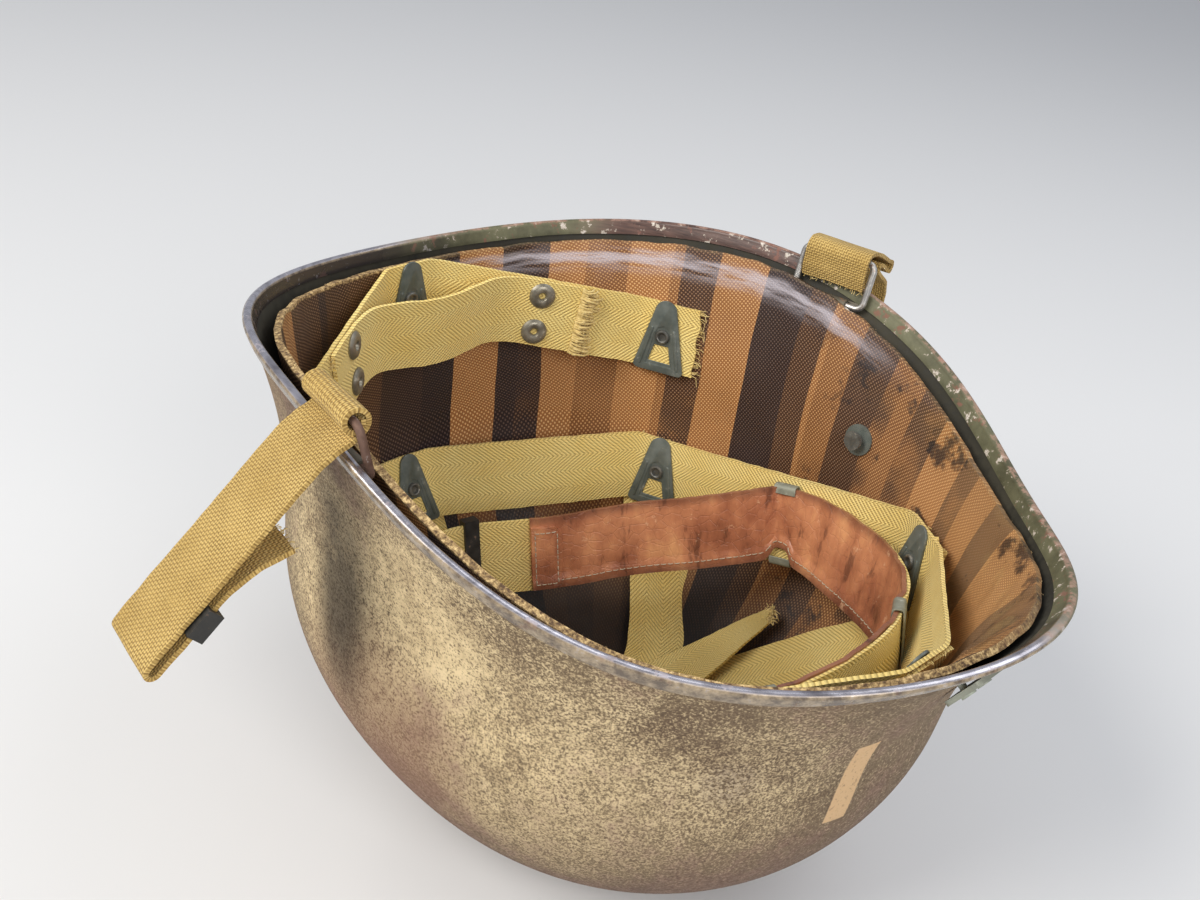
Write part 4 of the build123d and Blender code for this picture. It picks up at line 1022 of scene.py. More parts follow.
def washer_rib(side):
    """A sphere drawn out along one leg of the washer."""
    deselect()
    bpy.ops.mesh.primitive_uv_sphere_add(segments=12, ring_count=8, radius=MM)
    rib = bpy.context.object
    for vertex in rib.data.vertices:
        spot = vertex.co / MM
        x, y = RIB_FOOT if spot.y < 0 else RIB_TOP
        end = Vector((side * x, y, WASHER_WALL))
        vertex.co = (end + Vector((spot.x * RIB_HALF, spot.y * RIB_HALF, spot.z * RIB_TALL))) * MM
    return rib


def one_washer():
    outline = [washer_outline(90 + 360 * count / OUTLINE_POINTS) for count in range(OUTLINE_POINTS)]
    plate = prism(outline, 0.0, WASHER_WALL)
    cut_away(plate, prism(RECESS, RECESS_FLOOR, WASHER_WALL * 2))
    cut_away(plate, prism(WINDOW, -WASHER_WALL, WASHER_WALL * 2))
    bevelled(plate, 0.28)
    return smoothed(joined([plate, washer_rib(-1), washer_rib(1)]), 35)


washer = one_washer()
print("one washer", len(washer.data.polygons), "faces")


# %% Turned pieces
def turned(profile):
    """Solid of revolution about Z from (radius, height) pairs in millimetres, by spinning them."""
    deselect()
    bpy.ops.mesh.primitive_plane_add(size=MM)
    piece = bpy.context.object
    mesh = bpy.data.meshes.new("profile")
    mesh.from_pydata([(radius * MM, 0, height * MM) for radius, height in profile],
                     [(k, k + 1) for k in range(len(profile) - 1)], [])
    piece.data = mesh
    whole_turn = {"steps": TURN_STEPS, "angle": math.tau, "center": (0, 0, 0), "axis": (0, 0, 1)}
    shaped(piece, (bpy.ops.mesh.spin, whole_turn),
           (bpy.ops.mesh.remove_doubles, {"threshold": 0.002 * MM}),
           (bpy.ops.mesh.normals_make_consistent, {"inside": False}))
    return smoothed(piece, 35)


def copy_to(model, matrix):
    copy = bpy.data.objects.new(model.name, model.data.copy())
    bpy.context.scene.collection.objects.link(copy)
    copy.data.transform(matrix)
    return copy


def hollow_rivet(deep):
    """Turned rivet: a rolled cup in front, and a flat back that far behind."""
    cup = [(0, 0.05), (1.3, 0.05), (1.45, 0.35), (1.7, 0.95), (2.1, 1.15), (2.6, 1.05), (2.95, 0.6),
           (3.0, 0.0), (1.7, 0.0)]
    back = [(1.7, 0), (3.6, 0), (3.4, -0.5), (2.8, -0.75), (0, -0.8)]
    return turned(cup + [(radius, rise - deep) for radius, rise in back])


TURN_STEPS = 32
print("helpers for turned pieces are ready")

# %% Washers and rivets on their seats
WASHER_LIFT = WEB_WALL + 0.02
for kind, seats, names, stand in (("head", HEAD_SEATS, "123456", HEAD_STAND + WEB_WALL),
                                  ("neck", NECK_SEATS, ("right", "rear", "left"), NECK_STAND)):
    back = stand + WASHER_LIFT
    front = back + RECESS_FLOOR
    model = hollow_rivet(front + LINER_WALL)
    rivets = []
    for seat, name in zip(seats, names):
        node = f"{kind}_washer_{name}"
        stamped = copy_to(washer, seat.matrix(z=back))
        dress(stamped, f"stamped_{node}", "liner", WASHER_PAINT, [node])
        rivets.append(copy_to(model, seat.matrix(z=front)))
    dress(joined(rivets), f"hollow_{kind}_rivets", "liner", RIVET_METAL, [f"{kind}_rivets"])
    bpy.data.objects.remove(model)
bpy.data.objects.remove(washer)
print("washers", len(HEAD_SEATS) + len(NECK_SEATS))

# %% [markdown]
# ## Webbing inside
# The head band runs round the liner in straight chords from washer to washer, the neck band crosses the
# nape, and the nape strap is snapped to it. Crown legs hang behind the head band's washers and lie down
# along the liner: the second lies sideways, and the fifth is torn and reaches across the crown. Each
# strip is a ribbon whose stations come from the seats of the washers, and cut ends shed a few threads.

# %% Head band, neck band and nape strap
SEGMENT_HALF = 11.0
HEAD_BAND_TALL, NECK_BAND_TALL, NECK_TAIL = 29.0, 28.0, 3.0
NAPE_TALL, NAPE_HALF, NAPE_STAND, NAPE_BULGE = 27.0, 17.0, 0.5, -5.0


def band_anchors(seats, near, tail=0.0):
    """Both ends of the flat stretch under each washer, and the way up the wall there."""
    anchors = []
    for index, seat in enumerate(seats):
        first = SEGMENT_HALF + (tail if index == 0 else 0)
        second = SEGMENT_HALF + (tail if index == len(seats) - 1 else 0)
        anchors += [(seat.at(first, 0, near), seat.y), (seat.at(-second, 0, near), seat.y)]
    return anchors


def between(first, second, near):
    """Seat on the webbing's inner face halfway between two washers, z into the bowl."""
    start, stop = first.at(-SEGMENT_HALF, 0, near), second.at(SEGMENT_HALF, 0, near)
    run = (start - stop).normalized()
    inward = run.cross(first.y + second.y).normalized()
    return Seat((start + stop) / 2, run, inward.cross(run))


fray = []
HEAD_NEAR = HEAD_STAND + WEB_WALL
HALF_WEB = WEB_WALL / 2
head_band, _, _ = ribbon(band_anchors(HEAD_SEATS, HEAD_NEAR + HALF_WEB), HEAD_BAND_TALL, WEB_WALL,
                         closed=True, soften=3, ripple=0.5, seed=2)
dress(head_band, "head_band_webbing", "liner", WEBBING, ["head_band"])

neck_band, neck_ends, _ = ribbon(band_anchors(NECK_SEATS, NECK_STAND + HALF_WEB, NECK_TAIL), NECK_BAND_TALL,
                                 WEB_WALL, soften=3, ripple=0.35, ragged=1.2, seed=5)
dress(neck_band, "neck_band_webbing", "liner", NECK_WEBBING, ["neck_band"])

NAPE_RIGHT, NAPE_LEFT = (between(first, second, NECK_STAND + WEB_WALL)
                         for first, second in zip(NECK_SEATS, NECK_SEATS[1:]))
nape_mid = NAPE_STAND + HALF_WEB
nape_flats = [[(seat.at(side * NAPE_HALF, 0, nape_mid), seat.y) for side in (1, -1)]
              for seat in (NAPE_RIGHT, NAPE_LEFT)]
nape_bulge = ((NAPE_RIGHT.o + NAPE_LEFT.o) / 2 + Vector((NAPE_BULGE + nape_mid, 0, 0)),
              (NAPE_RIGHT.y + NAPE_LEFT.y).normalized())
nape_strap, nape_ends, _ = ribbon([*nape_flats[0], nape_bulge, *nape_flats[1]], NAPE_TALL, WEB_WALL,
                                  soften=50, ripple=0.4, ragged=1.4, seed=9)
dress(nape_strap, "nape_strap_webbing", "liner", NECK_WEBBING, ["nape_strap"])
for end, seed in zip(neck_ends + nape_ends, (3, 4, 6, 7)):
    fray += loose_ends(end, 34, 4.5, seed)
print("bands and nape strap laid")

# %% Thick threads at the nape strap's right end
RUFFLE_COUNT, RUFFLE_THICK = 64, 0.42
ruffle = []
draw = random.Random(17)
nape_end = nape_ends[0]
for count in range(RUFFLE_COUNT):
    spot = count / RUFFLE_COUNT * (len(nape_end) - 1)
    index = int(spot)
    start, run = nape_end[index][0].lerp(nape_end[index + 1][0], spot - index), nape_end[index][1]
    side = NAPE_RIGHT.y * draw.uniform(-1.2, 1.2)
    rise, reach = draw.uniform(1.5, 3.4), draw.uniform(3.0, 7.5)
    ruffle.append([start - run * 1.4 + NAPE_RIGHT.z * 0.8,
                   start + run * 0.4 + NAPE_RIGHT.z * rise + side * 0.3,
                   start + run * reach * 0.7 + NAPE_RIGHT.z * rise * 0.8 + side,
                   start + run * reach + side * 1.2])
dress(threads(ruffle, RUFFLE_THICK, 2), "nape_ruffle", "liner", LOOSE_YARN)
print("thick threads", len(ruffle))

# %% Snaps of the nape strap
SNAP_PITCH = 15.0
snap_front = NAPE_STAND + WEB_WALL
SNAP_CAP = ((0, 0.1), (1.2, 0.1), (1.35, 0.9), (1.9, 1.5), (3.2, 1.75), (4.5, 1.3), (5.2, 0.5), (5.1, 0),
            (1.6, 0))
SNAP_BACK = ((1.6, 0), (4.4, 0), (4.3, -0.8), (0, -0.9))
snap = turned([(radius, snap_front + rise) for radius, rise in SNAP_CAP]
              + [(radius, rise - WEB_WALL) for radius, rise in SNAP_BACK])
for side, seat in (("right", NAPE_RIGHT), ("left", NAPE_LEFT)):
    pair = [copy_to(snap, seat.matrix(y=lift * SNAP_PITCH / 2)) for lift in (-1, 1)]
    dress(joined(pair), f"turned_nape_snaps_{side}", "liner", SNAP_METAL,
          [f"nape_snaps_{side}"])
bpy.data.objects.remove(snap)
print("snaps set")

# %% Crown legs
LEG_WIDE, LEG_TOP, LEG_STAND = 27.0, 13.0, 0.5
LEG_SHARES = (0.72, 0.54, 0.38, 0.25, 0.14, 0.07)
LEG_SWAY = (2.0, 4.0, 25.0, -3.0, 0.0, -6.0)
SWAY_SHARE, SWAY_TILT = 0.75, 0.02
LEG_REACH_LIMIT = 300.0


def reach_along(foot, out, height):
    """How far from foot, going level along out, the liner lies at a height."""
    low, high = 0.0, LEG_REACH_LIMIT
    for _ in range(30):
        middle = (low + high) / 2
        spot = foot + out * middle
        inside = spot.length < LINER_IN.radius(math.degrees(math.atan2(spot.y, spot.x)), height)
        low, high = (middle, high) if inside else (low, middle)
    return low


def leg_anchors(seat, sway):
    out = Vector((-seat.z.x, -seat.z.y, 0)).normalized()
    foot = seat.o - out * seat.o.dot(out)
    foot.z = 0
    level = out.cross(UP)
    low = seat.at(0, -WASHER_TALL / 2, HEAD_STAND + HALF_WEB)
    anchors = [(seat.at(0, LEG_TOP, HEAD_STAND + HALF_WEB), level), (low, level)]
    for share in LEG_SHARES:
        height = LINER_IN.floor + (low.z - LINER_IN.floor) * share
        reach = reach_along(foot, out, height)
        slope = Vector((2 * CROWN_SAG, reach_along(foot, out, height - CROWN_SAG)
                        - reach_along(foot, out, height + CROWN_SAG))).normalized()
        stand = LEG_STAND + HALF_WEB + LEG_WIDE ** 2 / (8 * reach)
        spot = foot + out * (reach - stand * slope.x) + UP * (height - stand * slope.y)
        bend = sway * min(1.0, (1 - share) / SWAY_SHARE)
        anchors.append((spot + level * bend, level + out * SWAY_TILT * bend))
    return anchors


def on_wall(places, stand):
    """Anchors of a leg that lies along the liner through (turn, height) places."""
    seats = [LINER_IN.seat(turn, height) for turn, height in places]
    spots = [seat.o + seat.z * stand for seat in seats]
    last = len(spots) - 1
    return [(spot, seat.z.cross(spots[min(k + 1, last)] - spots[max(k - 1, 0)]).normalized())
            for k, (seat, spot) in enumerate(zip(seats, spots))]


SIDE_LEG, SIDE_STAND = ((53, 61), (57, 53), (62, 45), (67, 36), (73, 27), (81, 18), (95, 10)), 3.0
TORN_TAIL = ((-36.0, -2.0, 6.5), (-22.0, 22.0, 9.5), (-9.0, 46.0, 19.0), (0.0, 61.0, 32.0), (6.0, 69.5, 42.0),
             (12.0, 77.0, 50.5))
TORN_ACROSS = Vector((-0.78, 0.42, 0.46))


def torn_width(share):
    """Share of its width that the torn leg keeps, which falls off toward its tip."""
    return 1 - max(0, share - 0.74) * 3.0


for number, (seat, sway) in enumerate(zip(HEAD_SEATS, LEG_SWAY), 1):
    anchors = leg_anchors(seat, sway)
    if number == 5:
        level = anchors[0][1]
        anchors += [(Vector(spot), level.lerp(TORN_ACROSS, (count / len(TORN_TAIL)) ** 2))
                    for count, spot in enumerate(TORN_TAIL, 1)]
    if number == 2:
        anchors = anchors[:2] + on_wall(SIDE_LEG, SIDE_STAND)
    leg, leg_ends, _ = ribbon(anchors, LEG_WIDE, WEB_WALL, soften=8, ripple=0.7, ragged=2.2, seed=20 + number,
                              taper=torn_width if number == 5 else None)
    dress(leg, f"crown_leg_webbing_{number}", "liner", WEBBING, [f"crown_leg_{number}"])
    fray += loose_ends(leg_ends[1], 60, 5.0, 40 + number, spread=0.8)
    fray += loose_ends(leg_ends[0], 14, 2.5, 50 + number)
print("crown legs", len(HEAD_SEATS))

# %% [markdown]
# ## The sweatband
# A strip of webbing with leather folded over it hangs on the head band by wire clips. Its line is a
# closed curve on a tilted plane: it touches the head band at four clips and falls into the bowl behind.
# The leather stops short of the buckle on both sides, and the clip on the right holds it up and pinches
# it into a sharp crease.

# %% The line of the sweatband
SWEAT_LEVEL, SWEAT_TALL, SWEAT_WALL, SWEAT_WEB_WALL = 83.0, 30.0, 1.5, 1.2
SWEAT_REAR = ((-0.096, 0.644), (-0.319, 0.285), (-0.446, 0.041), (-0.51, -0.23), (-0.382, -0.529),
              (-0.149, -0.691))
SWEAT_FRONT, SWEAT_CORNER = 0.8352, (0.4455, 0.6302)
SWEAT_HOLD = 2.2
BUCKLE_SHARE = 56 / 72
LEATHER_GAP = 46.0
SWEAT_SEAT = Seat((0, 0, SWEAT_LEVEL), (1, 0, HEAD_TILT), (0, 1, 0))
SWEAT_COUNT = 360


def sweat_line():
    """Even places along the closed line of the sweatband, on its own tilted plane."""
    held = []
    for first, second in ((4, 5), (5, 0), (0, 1), (1, 2)):
        clip = between(HEAD_SEATS[first], HEAD_SEATS[second], HEAD_NEAR + WEB_WALL)
        spot = clip.at(0, -HEAD_BAND_TALL / 2, SWEAT_HOLD) - SWEAT_SEAT.o
        held.append(Vector((spot.dot(SWEAT_SEAT.x), spot.dot(SWEAT_SEAT.y))))
    corner = Vector((SWEAT_CORNER[0] * BOWL_FRONT, SWEAT_CORNER[1] * BOWL_SIDE))
    points = [held[0], Vector((corner.x, -corner.y)), held[1], Vector((SWEAT_FRONT * BOWL_FRONT, 0)), held[2],
              corner, held[3]]
    points += [Vector((along * BOWL_REAR, across * BOWL_SIDE)) for along, across in SWEAT_REAR]
    size = len(points)
    gaps = [(points[(k + 1) % size] - points[k]).length for k in range(size)]
    slopes = [((points[k] - points[k - 1]) / gaps[k - 1] * gaps[k]
               + (points[(k + 1) % size] - points[k]) / gaps[k] * gaps[k - 1]) / (gaps[k] + gaps[k - 1])
              for k in range(size)]
    dense = []
    for k in range(size):
        after = (k + 1) % size
        leave, arrive = slopes[k] * gaps[k] / 3, slopes[after] * gaps[k] / 3
        dense += geometry.interpolate_bezier(points[k], points[k] + leave, points[after] - arrive,
                                             points[after], 60)[:-1]
    travel = [0.0]
    for a, b in zip(dense, dense[1:] + dense[:1]):
        travel.append(travel[-1] + (b - a).length)
    line, index = [], 0
    for count in range(SWEAT_COUNT):
        goal = travel[-1] * count / SWEAT_COUNT
        while travel[index + 1] < goal:
            index += 1
        part = (goal - travel[index]) / (travel[index + 1] - travel[index])
        line.append(dense[index].lerp(dense[(index + 1) % len(dense)], part))
    return line, travel[-1], held


SWEAT_LINE, SWEAT_LONG, SWEAT_HELD = sweat_line()


def sweat_at(share, reach=0.0, up=0.0):
    """Place on the sweatband: reach outward from its line, up toward the rim."""
    spot = (share % 1) * SWEAT_COUNT
    index = int(spot)
    a, b = SWEAT_LINE[index % SWEAT_COUNT], SWEAT_LINE[(index + 1) % SWEAT_COUNT]
    run = (SWEAT_LINE[(index + 3) % SWEAT_COUNT] - SWEAT_LINE[(index - 2) % SWEAT_COUNT]).normalized()
    level = a.lerp(b, spot - index) + Vector((run.y, -run.x)) * reach
    return SWEAT_SEAT.at(level.x, level.y, up)


def share_of(spot):
    return min(range(SWEAT_COUNT), key=lambda k: (SWEAT_LINE[k] - spot).length) / SWEAT_COUNT


KINK_SHARE = share_of(SWEAT_HELD[3])
print("sweatband line", round(SWEAT_LONG), "mm, crease at", round(KINK_SHARE, 3))

# %% How the band hangs beside its crease
def past(share, middle):
    """How far a share lies beyond another one along the closed line, in millimetres, negative before it."""
    return ((share - middle + 0.5) % 1 - 0.5) * SWEAT_LONG


def slack(share):
    """How far the band bellies into the bowl beside the clip that pinches it, in millimetres."""
    away = past(share, KINK_SHARE)
    side = 6.5 if away > 0 else 3.0
    return side * (1 - math.exp(-abs(away) / 8)) * math.exp(-(away / 45) ** 4)


def risen(share):
    """How far the clip holds the whole band up, in millimetres."""
    away = past(share, KINK_SHARE)
    if away < 0:
        return 6.0 * math.exp(-(away / 62) ** 2)
    return 6.0 * math.exp(-(away / 34) ** 2) - 3.0 * math.exp(-((away - 92) / 26) ** 2)


def leaning(share):
    """How far the upper edge leans out toward the wall on the right, in millimetres."""
    away = -past(share, KINK_SHARE) / 92
    return 9.5 * math.sin(math.pi * away) ** 0.7 if 0 < away < 1 else 0.0


def band_at(share, reach, low):
    """Place on the hanging band: reach outward from its line, low up from its lower edge."""
    return sweat_at(share, reach - slack(share) + leaning(share) * low / SWEAT_TALL,
                    low - SWEAT_TALL / 2 + risen(share))


print("the clip holds the band up", round(risen(KINK_SHARE), 1), "mm")

# %% Webbing and leather of the sweatband
WEB_STEPS, WEB_ROWS, WEB_DROP = 240, 10, 0.7


def web_place(u, v):
    return band_at(u, SWEAT_WEB_WALL / 2, v * SWEAT_TALL - WEB_DROP)


sweat_web = laid_grid(WEB_STEPS, WEB_ROWS, web_place, SWEAT_LONG, SWEAT_TALL, wall=SWEAT_WEB_WALL)
dress(sweat_web, "sweatband_webbing_strip", "liner", WEBBING, ["sweatband_webbing"])

GAP_SHARE = LEATHER_GAP / 2 / SWEAT_LONG
LEATHER_START, LEATHER_SPAN = BUCKLE_SHARE + GAP_SHARE, 1 - 2 * GAP_SHARE
LEATHER_STEPS, LEATHER_ROWS = 330, 22
LEATHER_LONG = SWEAT_LONG * LEATHER_SPAN
HEM_TALL, HEM_DEEP = 4.2, 0.55
PINCH_SHIFT, PINCH_LONG, NOTCH_TALL = 4, 5.5, 5.5


def leather_face(along, across):
    """Place on the leather's middle surface: along it 0..1, and across it in millimetres from its middle."""
    share = LEATHER_START + along * LEATHER_SPAN
    low = across + SWEAT_TALL / 2
    pinch = math.exp(-((past(share, KINK_SHARE) + PINCH_SHIFT) / PINCH_LONG) ** 4)
    notch = NOTCH_TALL * pinch * (1 - low / SWEAT_TALL)
    spot = heading(share * 360, 9)
    crumple = (noise.noise(spot * 1.6 + UP * across * 0.035) * 0.8
               + noise.noise(spot * 6 + UP * across * 0.09) * 0.28)
    hemmed = crumple * 0.35 + HEM_DEEP if low < HEM_TALL else crumple
    return band_at(share, -SWEAT_WALL / 2 - hemmed, low + notch)


def leather_place(u, v):
    return leather_face(u, (v - 0.5) * SWEAT_TALL)


sweat_leather = laid_grid(LEATHER_STEPS, LEATHER_ROWS, leather_place, LEATHER_LONG, SWEAT_TALL,
                          wall=SWEAT_WALL)
dress(sweat_leather, "sweatband_leather_strip", "liner", LEATHER, ["sweatband_leather"])
print("leather", round(LEATHER_LONG), "mm long")

# %% Clips of the sweatband
CLIP_WIDE, CLIP_WALL = 9.0, 0.6
CLIP_SHARES = (KINK_SHARE - PINCH_SHIFT / SWEAT_LONG, share_of(SWEAT_HELD[1]), share_of(SWEAT_HELD[0]),
               share_of(SWEAT_HELD[2]), 62 / 72, 68 / 72)
LOWER, UPPER = -1.4, SWEAT_TALL + 0.6
INNER_FACE, OUTER_FACE = -SWEAT_WALL - 0.6, SWEAT_WEB_WALL + 0.6
CLIP_PATH = ((INNER_FACE - 0.2, UPPER - 3.0), (INNER_FACE, UPPER - 0.6), (INNER_FACE + 0.8, UPPER + 0.2),
             (OUTER_FACE - 0.4, UPPER), (OUTER_FACE, UPPER - 1.5), (OUTER_FACE, LOWER + 1.5),
             (OUTER_FACE - 0.5, LOWER), (INNER_FACE + 0.6, LOWER - 0.2), (INNER_FACE - 0.1, LOWER + 0.8),
             (INNER_FACE - 0.3, LOWER + 3.2))
clips = []
for share in CLIP_SHARES:
    run = (sweat_at(share + 2 / SWEAT_LONG) - sweat_at(share)).normalized()
    anchors = [(band_at(share, reach, low), run) for reach, low in CLIP_PATH]
    clips.append(ribbon(anchors, CLIP_WIDE, CLIP_WALL, rows=4, soften=1, ripple=0.0, step=0.7)[0])
sweat_clips = joined(clips)
bevelled(sweat_clips, 0.12, segments=1, angle=50)
dress(sweat_clips, "sweatband_wire_clips", "liner", CLIP_METAL, ["sweatband_clips"])
print("clips", len(CLIP_SHARES))

# %% Stitches and the sewn ends of the leather
def stitches(path_at, long, pitch=2.7, dash=2.0, lift=0.35):
    """Short raised threads along a line given as path_at(share) -> (place, outward)."""
    count = int(long / pitch)
    paths = []
    for index in range(count):
        dashes = []
        for part, rise in ((0.0, 0.0), (0.3, lift), (0.7, lift), (1.0, 0.0)):
            place, out = path_at((index + part * dash / pitch) / count)
            dashes.append(place + out * rise)
        paths.append(dashes)
    return paths


def on_leather(along, across, stand=0.0):
    """Place on the leather's inner face, and the direction off it."""
    share = LEATHER_START + along * LEATHER_SPAN
    off = (sweat_at(share, -1) - sweat_at(share)).normalized()
    return leather_face(along, across) + off * (SWEAT_WALL / 2 + stand), off


HEM_LINE = HEM_TALL - SWEAT_TALL / 2 - 0.9
seam = stitches(lambda share: on_leather(0.004 + share * 0.992, HEM_LINE), LEATHER_LONG)
END_LONG, END_TALL, END_WALL, END_LOW = 12.0, 26.0, 1.0, 1.5
END_STAND, SEAM_STAND = 0.55, 1.05
END_REACH = END_LONG / LEATHER_LONG
END_STITCH = {"pitch": 2.2, "dash": 1.6, "lift": 0.25}
ROW_FIRST, ROW_LAST, ROW_INSET = 0.12, 0.86, 2.2
for along, sign, side in ((0.0, 1, "first"), (1.0, -1, "last")):

    def end_place(u, v, along=along, sign=sign):
        rounded = u * (1 - 0.22 * (abs(v - 0.5) * 2) ** 6)
        return on_leather(along + sign * END_REACH * rounded, (v - 0.5) * END_TALL - END_LOW, END_STAND)[0]

    def on_end(reach, tall, along=along, sign=sign):
        return on_leather(along + sign * END_REACH * reach, tall - END_LOW, SEAM_STAND)

    patch = laid_grid(10, 16, end_place, END_LONG, END_TALL, wall=END_WALL, flip=sign > 0)
    dress(patch, f"leather_end_{side}", "liner", LEATHER)
    for row in (ROW_FIRST, ROW_LAST):
        seam += stitches(lambda share, row=row: on_end(row, (share - 0.5) * (END_TALL - 5)), END_TALL - 5,
                         **END_STITCH)
    for tall in (ROW_INSET - END_TALL / 2, END_TALL / 2 - ROW_INSET):
        seam += stitches(lambda share, tall=tall: on_end(ROW_FIRST + (ROW_LAST - ROW_FIRST) * share, tall),
                         END_LONG * (ROW_LAST - ROW_FIRST), **END_STITCH)
dress(threads(seam, 0.2), "leather_seams", "liner", STITCH_YARN)
print("sweatband, with", len(seam), "stitches")

# %% [markdown]
# ## Chinstraps
# Each chinstrap is sewn round the bar of its wire bale. The left one lies back over the shell, folds
# under itself and runs through a slide buckle. The right one goes over the rim in a curl and hangs
# outside, where its hook is. The paths are drawn in the plane square to the bale's hinge, whose place and
# axis come from the CAD joints.

# %% Frames of the straps
STRAP_WIDE, STRAP_WALL, STRAP_LEAN = 25.4, 1.6, 43.0
STRAP_CLEAR = 0.15
JOINTS = {joint["name"]: joint for joint in frame["joints"]}


def strap_seat(side, lean):
    """Seat at the strap's bar: x along the strap, y to its upper side, z along the hinge."""
    joint = JOINTS[f"strap_{side}_hinge"]
    bar = Vector(joint["pos_m"]) / MM
    run = Vector(joint["axis"]).normalized()
    out = Vector((run.y, -run.x, 0)).normalized()
    if out.dot(Vector((bar.x, bar.y, 0))) < 0:
        out = -out
    angle = math.radians(lean)
    sine, cosine = math.sin(angle), math.cos(angle)
    return Seat(bar, out * sine - UP * cosine, out * cosine + UP * sine)


def arc(middle, radius, start, stop, count=8):
    """Flat points of an arc between two angles in degrees."""
    return [Vector(middle) + heading(start + (stop - start) * k / count, radius).xy for k in range(count + 1)]


def flat(*pairs):
    return [Vector(pair) for pair in pairs]


def strap(side, seat, path, ragged, seed):
    """Chinstrap along a flat path from its bar: returns its two ends."""
    anchors = [(seat.at(spot.x, spot.y), seat.z) for spot in path]
    piece, ends, long = ribbon(anchors, STRAP_WIDE, STRAP_WALL - STRAP_CLEAR, soften=1, ripple=0.3,
                               ragged=ragged, seed=seed, step=0.8)
    dress(piece, f"chinstrap_{side}_webbing", f"strap_{side}_body", STRAP_WEBBING,
          [f"chinstrap_{side}"])
    print(side, "chinstrap", round(long), "mm of webbing")
    return ends


# %% Left chinstrap
LEFT = strap_seat("left", STRAP_LEAN)
PLY = 0.85
FOLD_SPOT, FOLD_R = (84.0, -2.8), 2.0
ROLL_START, ROLL_END, ROLL_STEP = -140, 290, 18
ROLL_R, ROLL_SWELL = 2.3, 1.9
roll = [heading(turn, ROLL_R + ROLL_SWELL * (turn - ROLL_START) / (ROLL_END - ROLL_START)).xy
        for turn in range(ROLL_START, ROLL_END + 1, ROLL_STEP)]
left_flat = (roll + flat((5.0, -3.6), (9.0, -2.0), (14.0, -1.1), (24.0, -PLY), (50.0, -PLY))
             + arc(FOLD_SPOT, FOLD_R, 90, -90, 8)
             + flat((74.0, -4.8), (64.0, -4.8), (55.2, -4.9), (45.6, -7.6), (37.0, -12.4)))
left_ends = strap("left", LEFT, left_flat, 0.5, 31)
strap_fray = loose_ends(left_ends[1], 22, 2.5, 61) + loose_ends(left_ends[0], 26, 2.5, 62)

# %% Right chinstrap
RIGHT = strap_seat("right", 90.0)
RIGHT_OUT, RIGHT_DROP = 24.0, 96.0
HOOK_WIRE = 1.6
hook_bar = Vector((RIGHT_OUT - STRAP_WALL / 2, -RIGHT_DROP - HOOK_WIRE - STRAP_WALL / 2))
right_flat = (flat((-2.6, -10.5), (-3.8, -6.0)) + arc((-0.2, 0.0), 3.5, 190, 80, 8)
              + flat((5.0, 2.9), (10.0, 1.2), (15.0, -1.2), (19.5, -3.6))
              + arc((22.0, -6.4), 1.9, 60, -120, 8)
              + flat((17.0, -5.6), (12.5, -3.2)) + arc((11.8, -4.9), 1.7, 80, 250, 6)
              + flat((16.5, -10.0), (21.0, -13.0), (22.8, -18.0), (23.1, -27.0), (23.2, -48.0), (23.2, -90.0),
                     (24.6, -94.5))
              + arc(hook_bar, 2.4, 50, -230, 12) + flat((21.4, -93.0), (21.6, -84.0)))
right_ends = strap("right", RIGHT, right_flat, 0.4, 33)

# %% Loose threads
THREAD_THICK = 0.17
dress(threads(fray, THREAD_THICK), "webbing_fray", "liner", LOOSE_YARN)
for side, paths in (("left", strap_fray), ("right", loose_ends(right_ends[0], 26, 2.2, 63))):
    dress(threads(paths, THREAD_THICK), f"strap_fray_{side}", f"strap_{side}_body", LOOSE_YARN)
print("loose threads", len(fray) + len(strap_fray))

# %% [markdown]
# ## Small metal parts
# The wire bales, their brackets, the plate on the front, the buckles, the hook and the studs keep their
# CAD shapes, which have all their edges. They get their materials here.

# %% Materials on the CAD pieces
for finish, names in ((WIRE_RUST, ["bale_left"]), (WIRE_STEEL, ["bale_right"]),
                      (BRACKET_STEEL, ["bale_bracket_left", "bale_bracket_right"]),
                      (PLATE_METAL, ["front_plate", "front_plate_posts"]),
                      (BUCKLE_BLACK, ["chinstrap_buckle", "chinstrap_hook", "sweatband_buckle"]),
                      (RIVET_METAL, ["liner_stud_right", "liner_stud_left"]),
                      (WASHER_PAINT, ["stud_washer_right", "stud_washer_left"])):
    for name in names:
        mesh = frame["nodes"][name].data
        mesh.materials.clear()
        mesh.materials.append(finish)
print("CAD pieces finished")


# %% [markdown]
# ## Floor, light and camera
# The helmet stands on its crown on a plain pale floor. One large soft lamp on the camera's left, a weak
# one behind and one on the right reach down into the bowl, and an even world softens them. The camera is
# where the photograph's was: its place, tilt, roll and lens were worked out from the rim's outline.

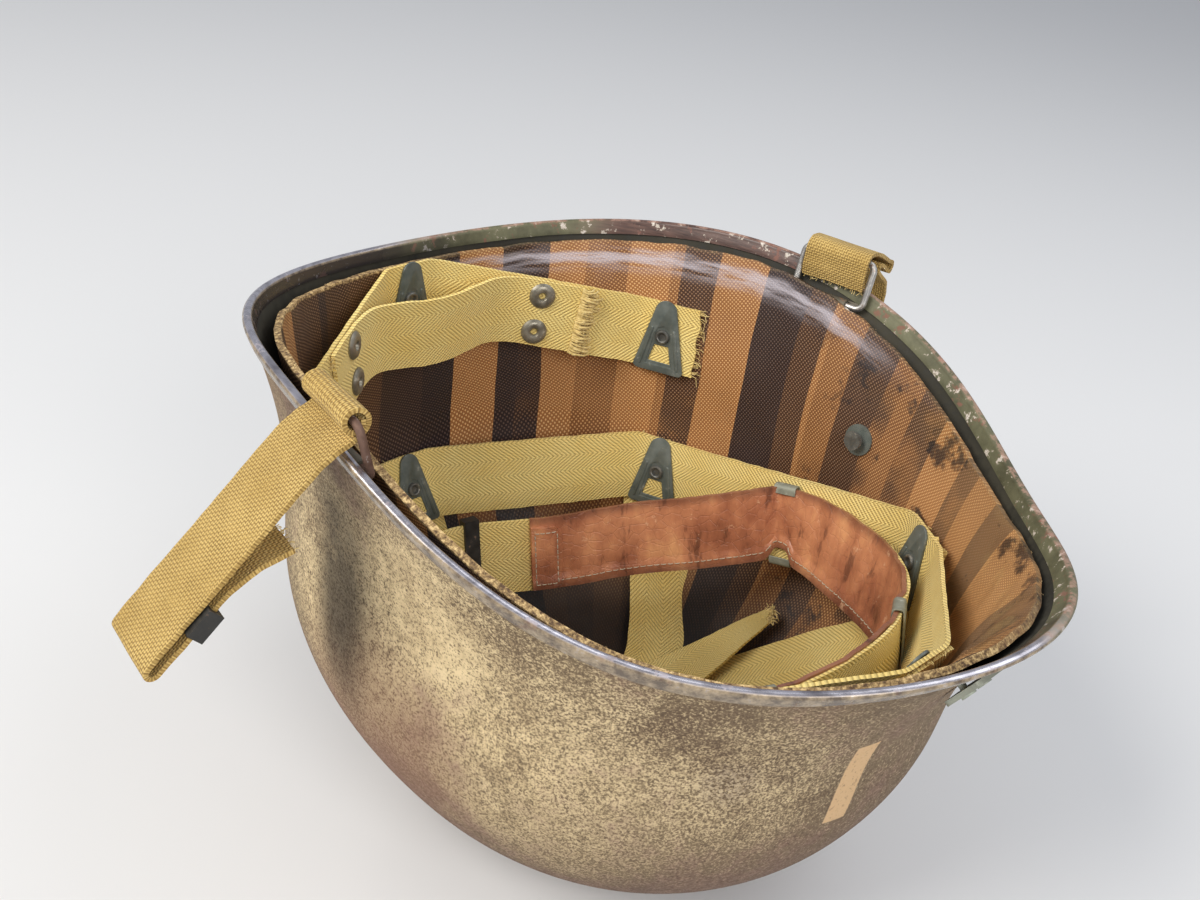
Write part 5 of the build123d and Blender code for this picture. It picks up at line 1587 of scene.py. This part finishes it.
# %% Stage
def stage():
    deselect()
    bpy.ops.mesh.primitive_plane_add(size=12, location=(0, 0, -0.0002))
    floor = take(bpy.context.object)
    floor.name = "floor"
    finish = Finish("floor_paper", specular_ior_level=0.2)
    floor.data.materials.append(finish.end((0.80, 0.80, 0.79), roughness=0.9))
    world = bpy.data.worlds.new("room")
    bpy.context.scene.world = world
    world.use_nodes = True
    tree = world.node_tree
    tree.nodes.clear()
    output = tree.nodes.new("ShaderNodeOutputWorld")
    even = tree.nodes.new("ShaderNodeBackground")
    bright = tree.nodes.new("ShaderNodeBackground")
    for light, colour, strength in ((even, (0.86, 0.90, 1.0, 1), 0.44), (bright, (0.93, 0.93, 0.93, 1), 0.9)):
        light.inputs["Color"].default_value = colour
        light.inputs["Strength"].default_value = strength
    rays = tree.nodes.new("ShaderNodeLightPath")
    either = tree.nodes.new("ShaderNodeMixShader")
    for source, target in ((rays.outputs["Is Camera Ray"], either.inputs[0]),
                           (even.outputs[0], either.inputs[1]), (bright.outputs[0], either.inputs[2]),
                           (either.outputs[0], output.inputs[0])):
        tree.links.new(source, target)
    for name, spot, size, watts, tone in LAMPS:
        lamp = bpy.data.lights.new(name, "AREA")
        lamp.shape = "DISK"
        lamp.size = size
        lamp.energy = watts
        lamp.color = tone
        holder = bpy.data.objects.new(name, lamp)
        bpy.context.scene.collection.objects.link(holder)
        holder.location = spot
        holder.rotation_euler = (LAMP_TARGET - Vector(spot)).to_track_quat("-Z", "Y").to_euler()


LAMPS = (("window", (-0.5, -1.65, 1.6), 1.4, 40.0, (1.0, 0.97, 0.92)),
         ("sky", (0.35, 0.75, 1.35), 1.1, 5.0, (0.93, 0.96, 1.0)),
         ("fill", (0.98, -0.46, 0.72), 0.6, 6.5, (1.0, 0.97, 0.95)))
LAMP_TARGET = Vector((0, 0, 0.1))
CAMERA_SPOT = Vector((249.84, -312.42, 358.36)) * MM
CAMERA_TURN, CAMERA_TILT, CAMERA_ROLL = (math.radians(x) for x in (40.9, 28.47, 8.1))
CAMERA_LENS = 40.99
CAMERA_SENSOR = 36.0


def camera():
    sight = bpy.data.cameras.new("camera")
    sight.lens = CAMERA_LENS
    sight.sensor_width = CAMERA_SENSOR
    sight.clip_start = 0.01
    holder = bpy.data.objects.new("camera", sight)
    bpy.context.scene.collection.objects.link(holder)
    level_share = math.cos(CAMERA_TILT)
    back = Vector((math.sin(CAMERA_TURN) * level_share, -math.cos(CAMERA_TURN) * level_share,
                   math.sin(CAMERA_TILT)))
    level = Vector((math.cos(CAMERA_TURN), math.sin(CAMERA_TURN), 0))
    upright = back.cross(level)
    right = level * math.cos(CAMERA_ROLL) + upright * math.sin(CAMERA_ROLL)
    top = upright * math.cos(CAMERA_ROLL) - level * math.sin(CAMERA_ROLL)
    aimed = Matrix((right, top, back)).transposed().to_4x4()
    holder.matrix_world = Matrix.Translation(CAMERA_SPOT) @ aimed
    bpy.context.scene.camera = holder
    print("camera at", [round(value, 3) for value in CAMERA_SPOT])


stage()
camera()
bpy.context.scene.view_settings.view_transform = "Standard"
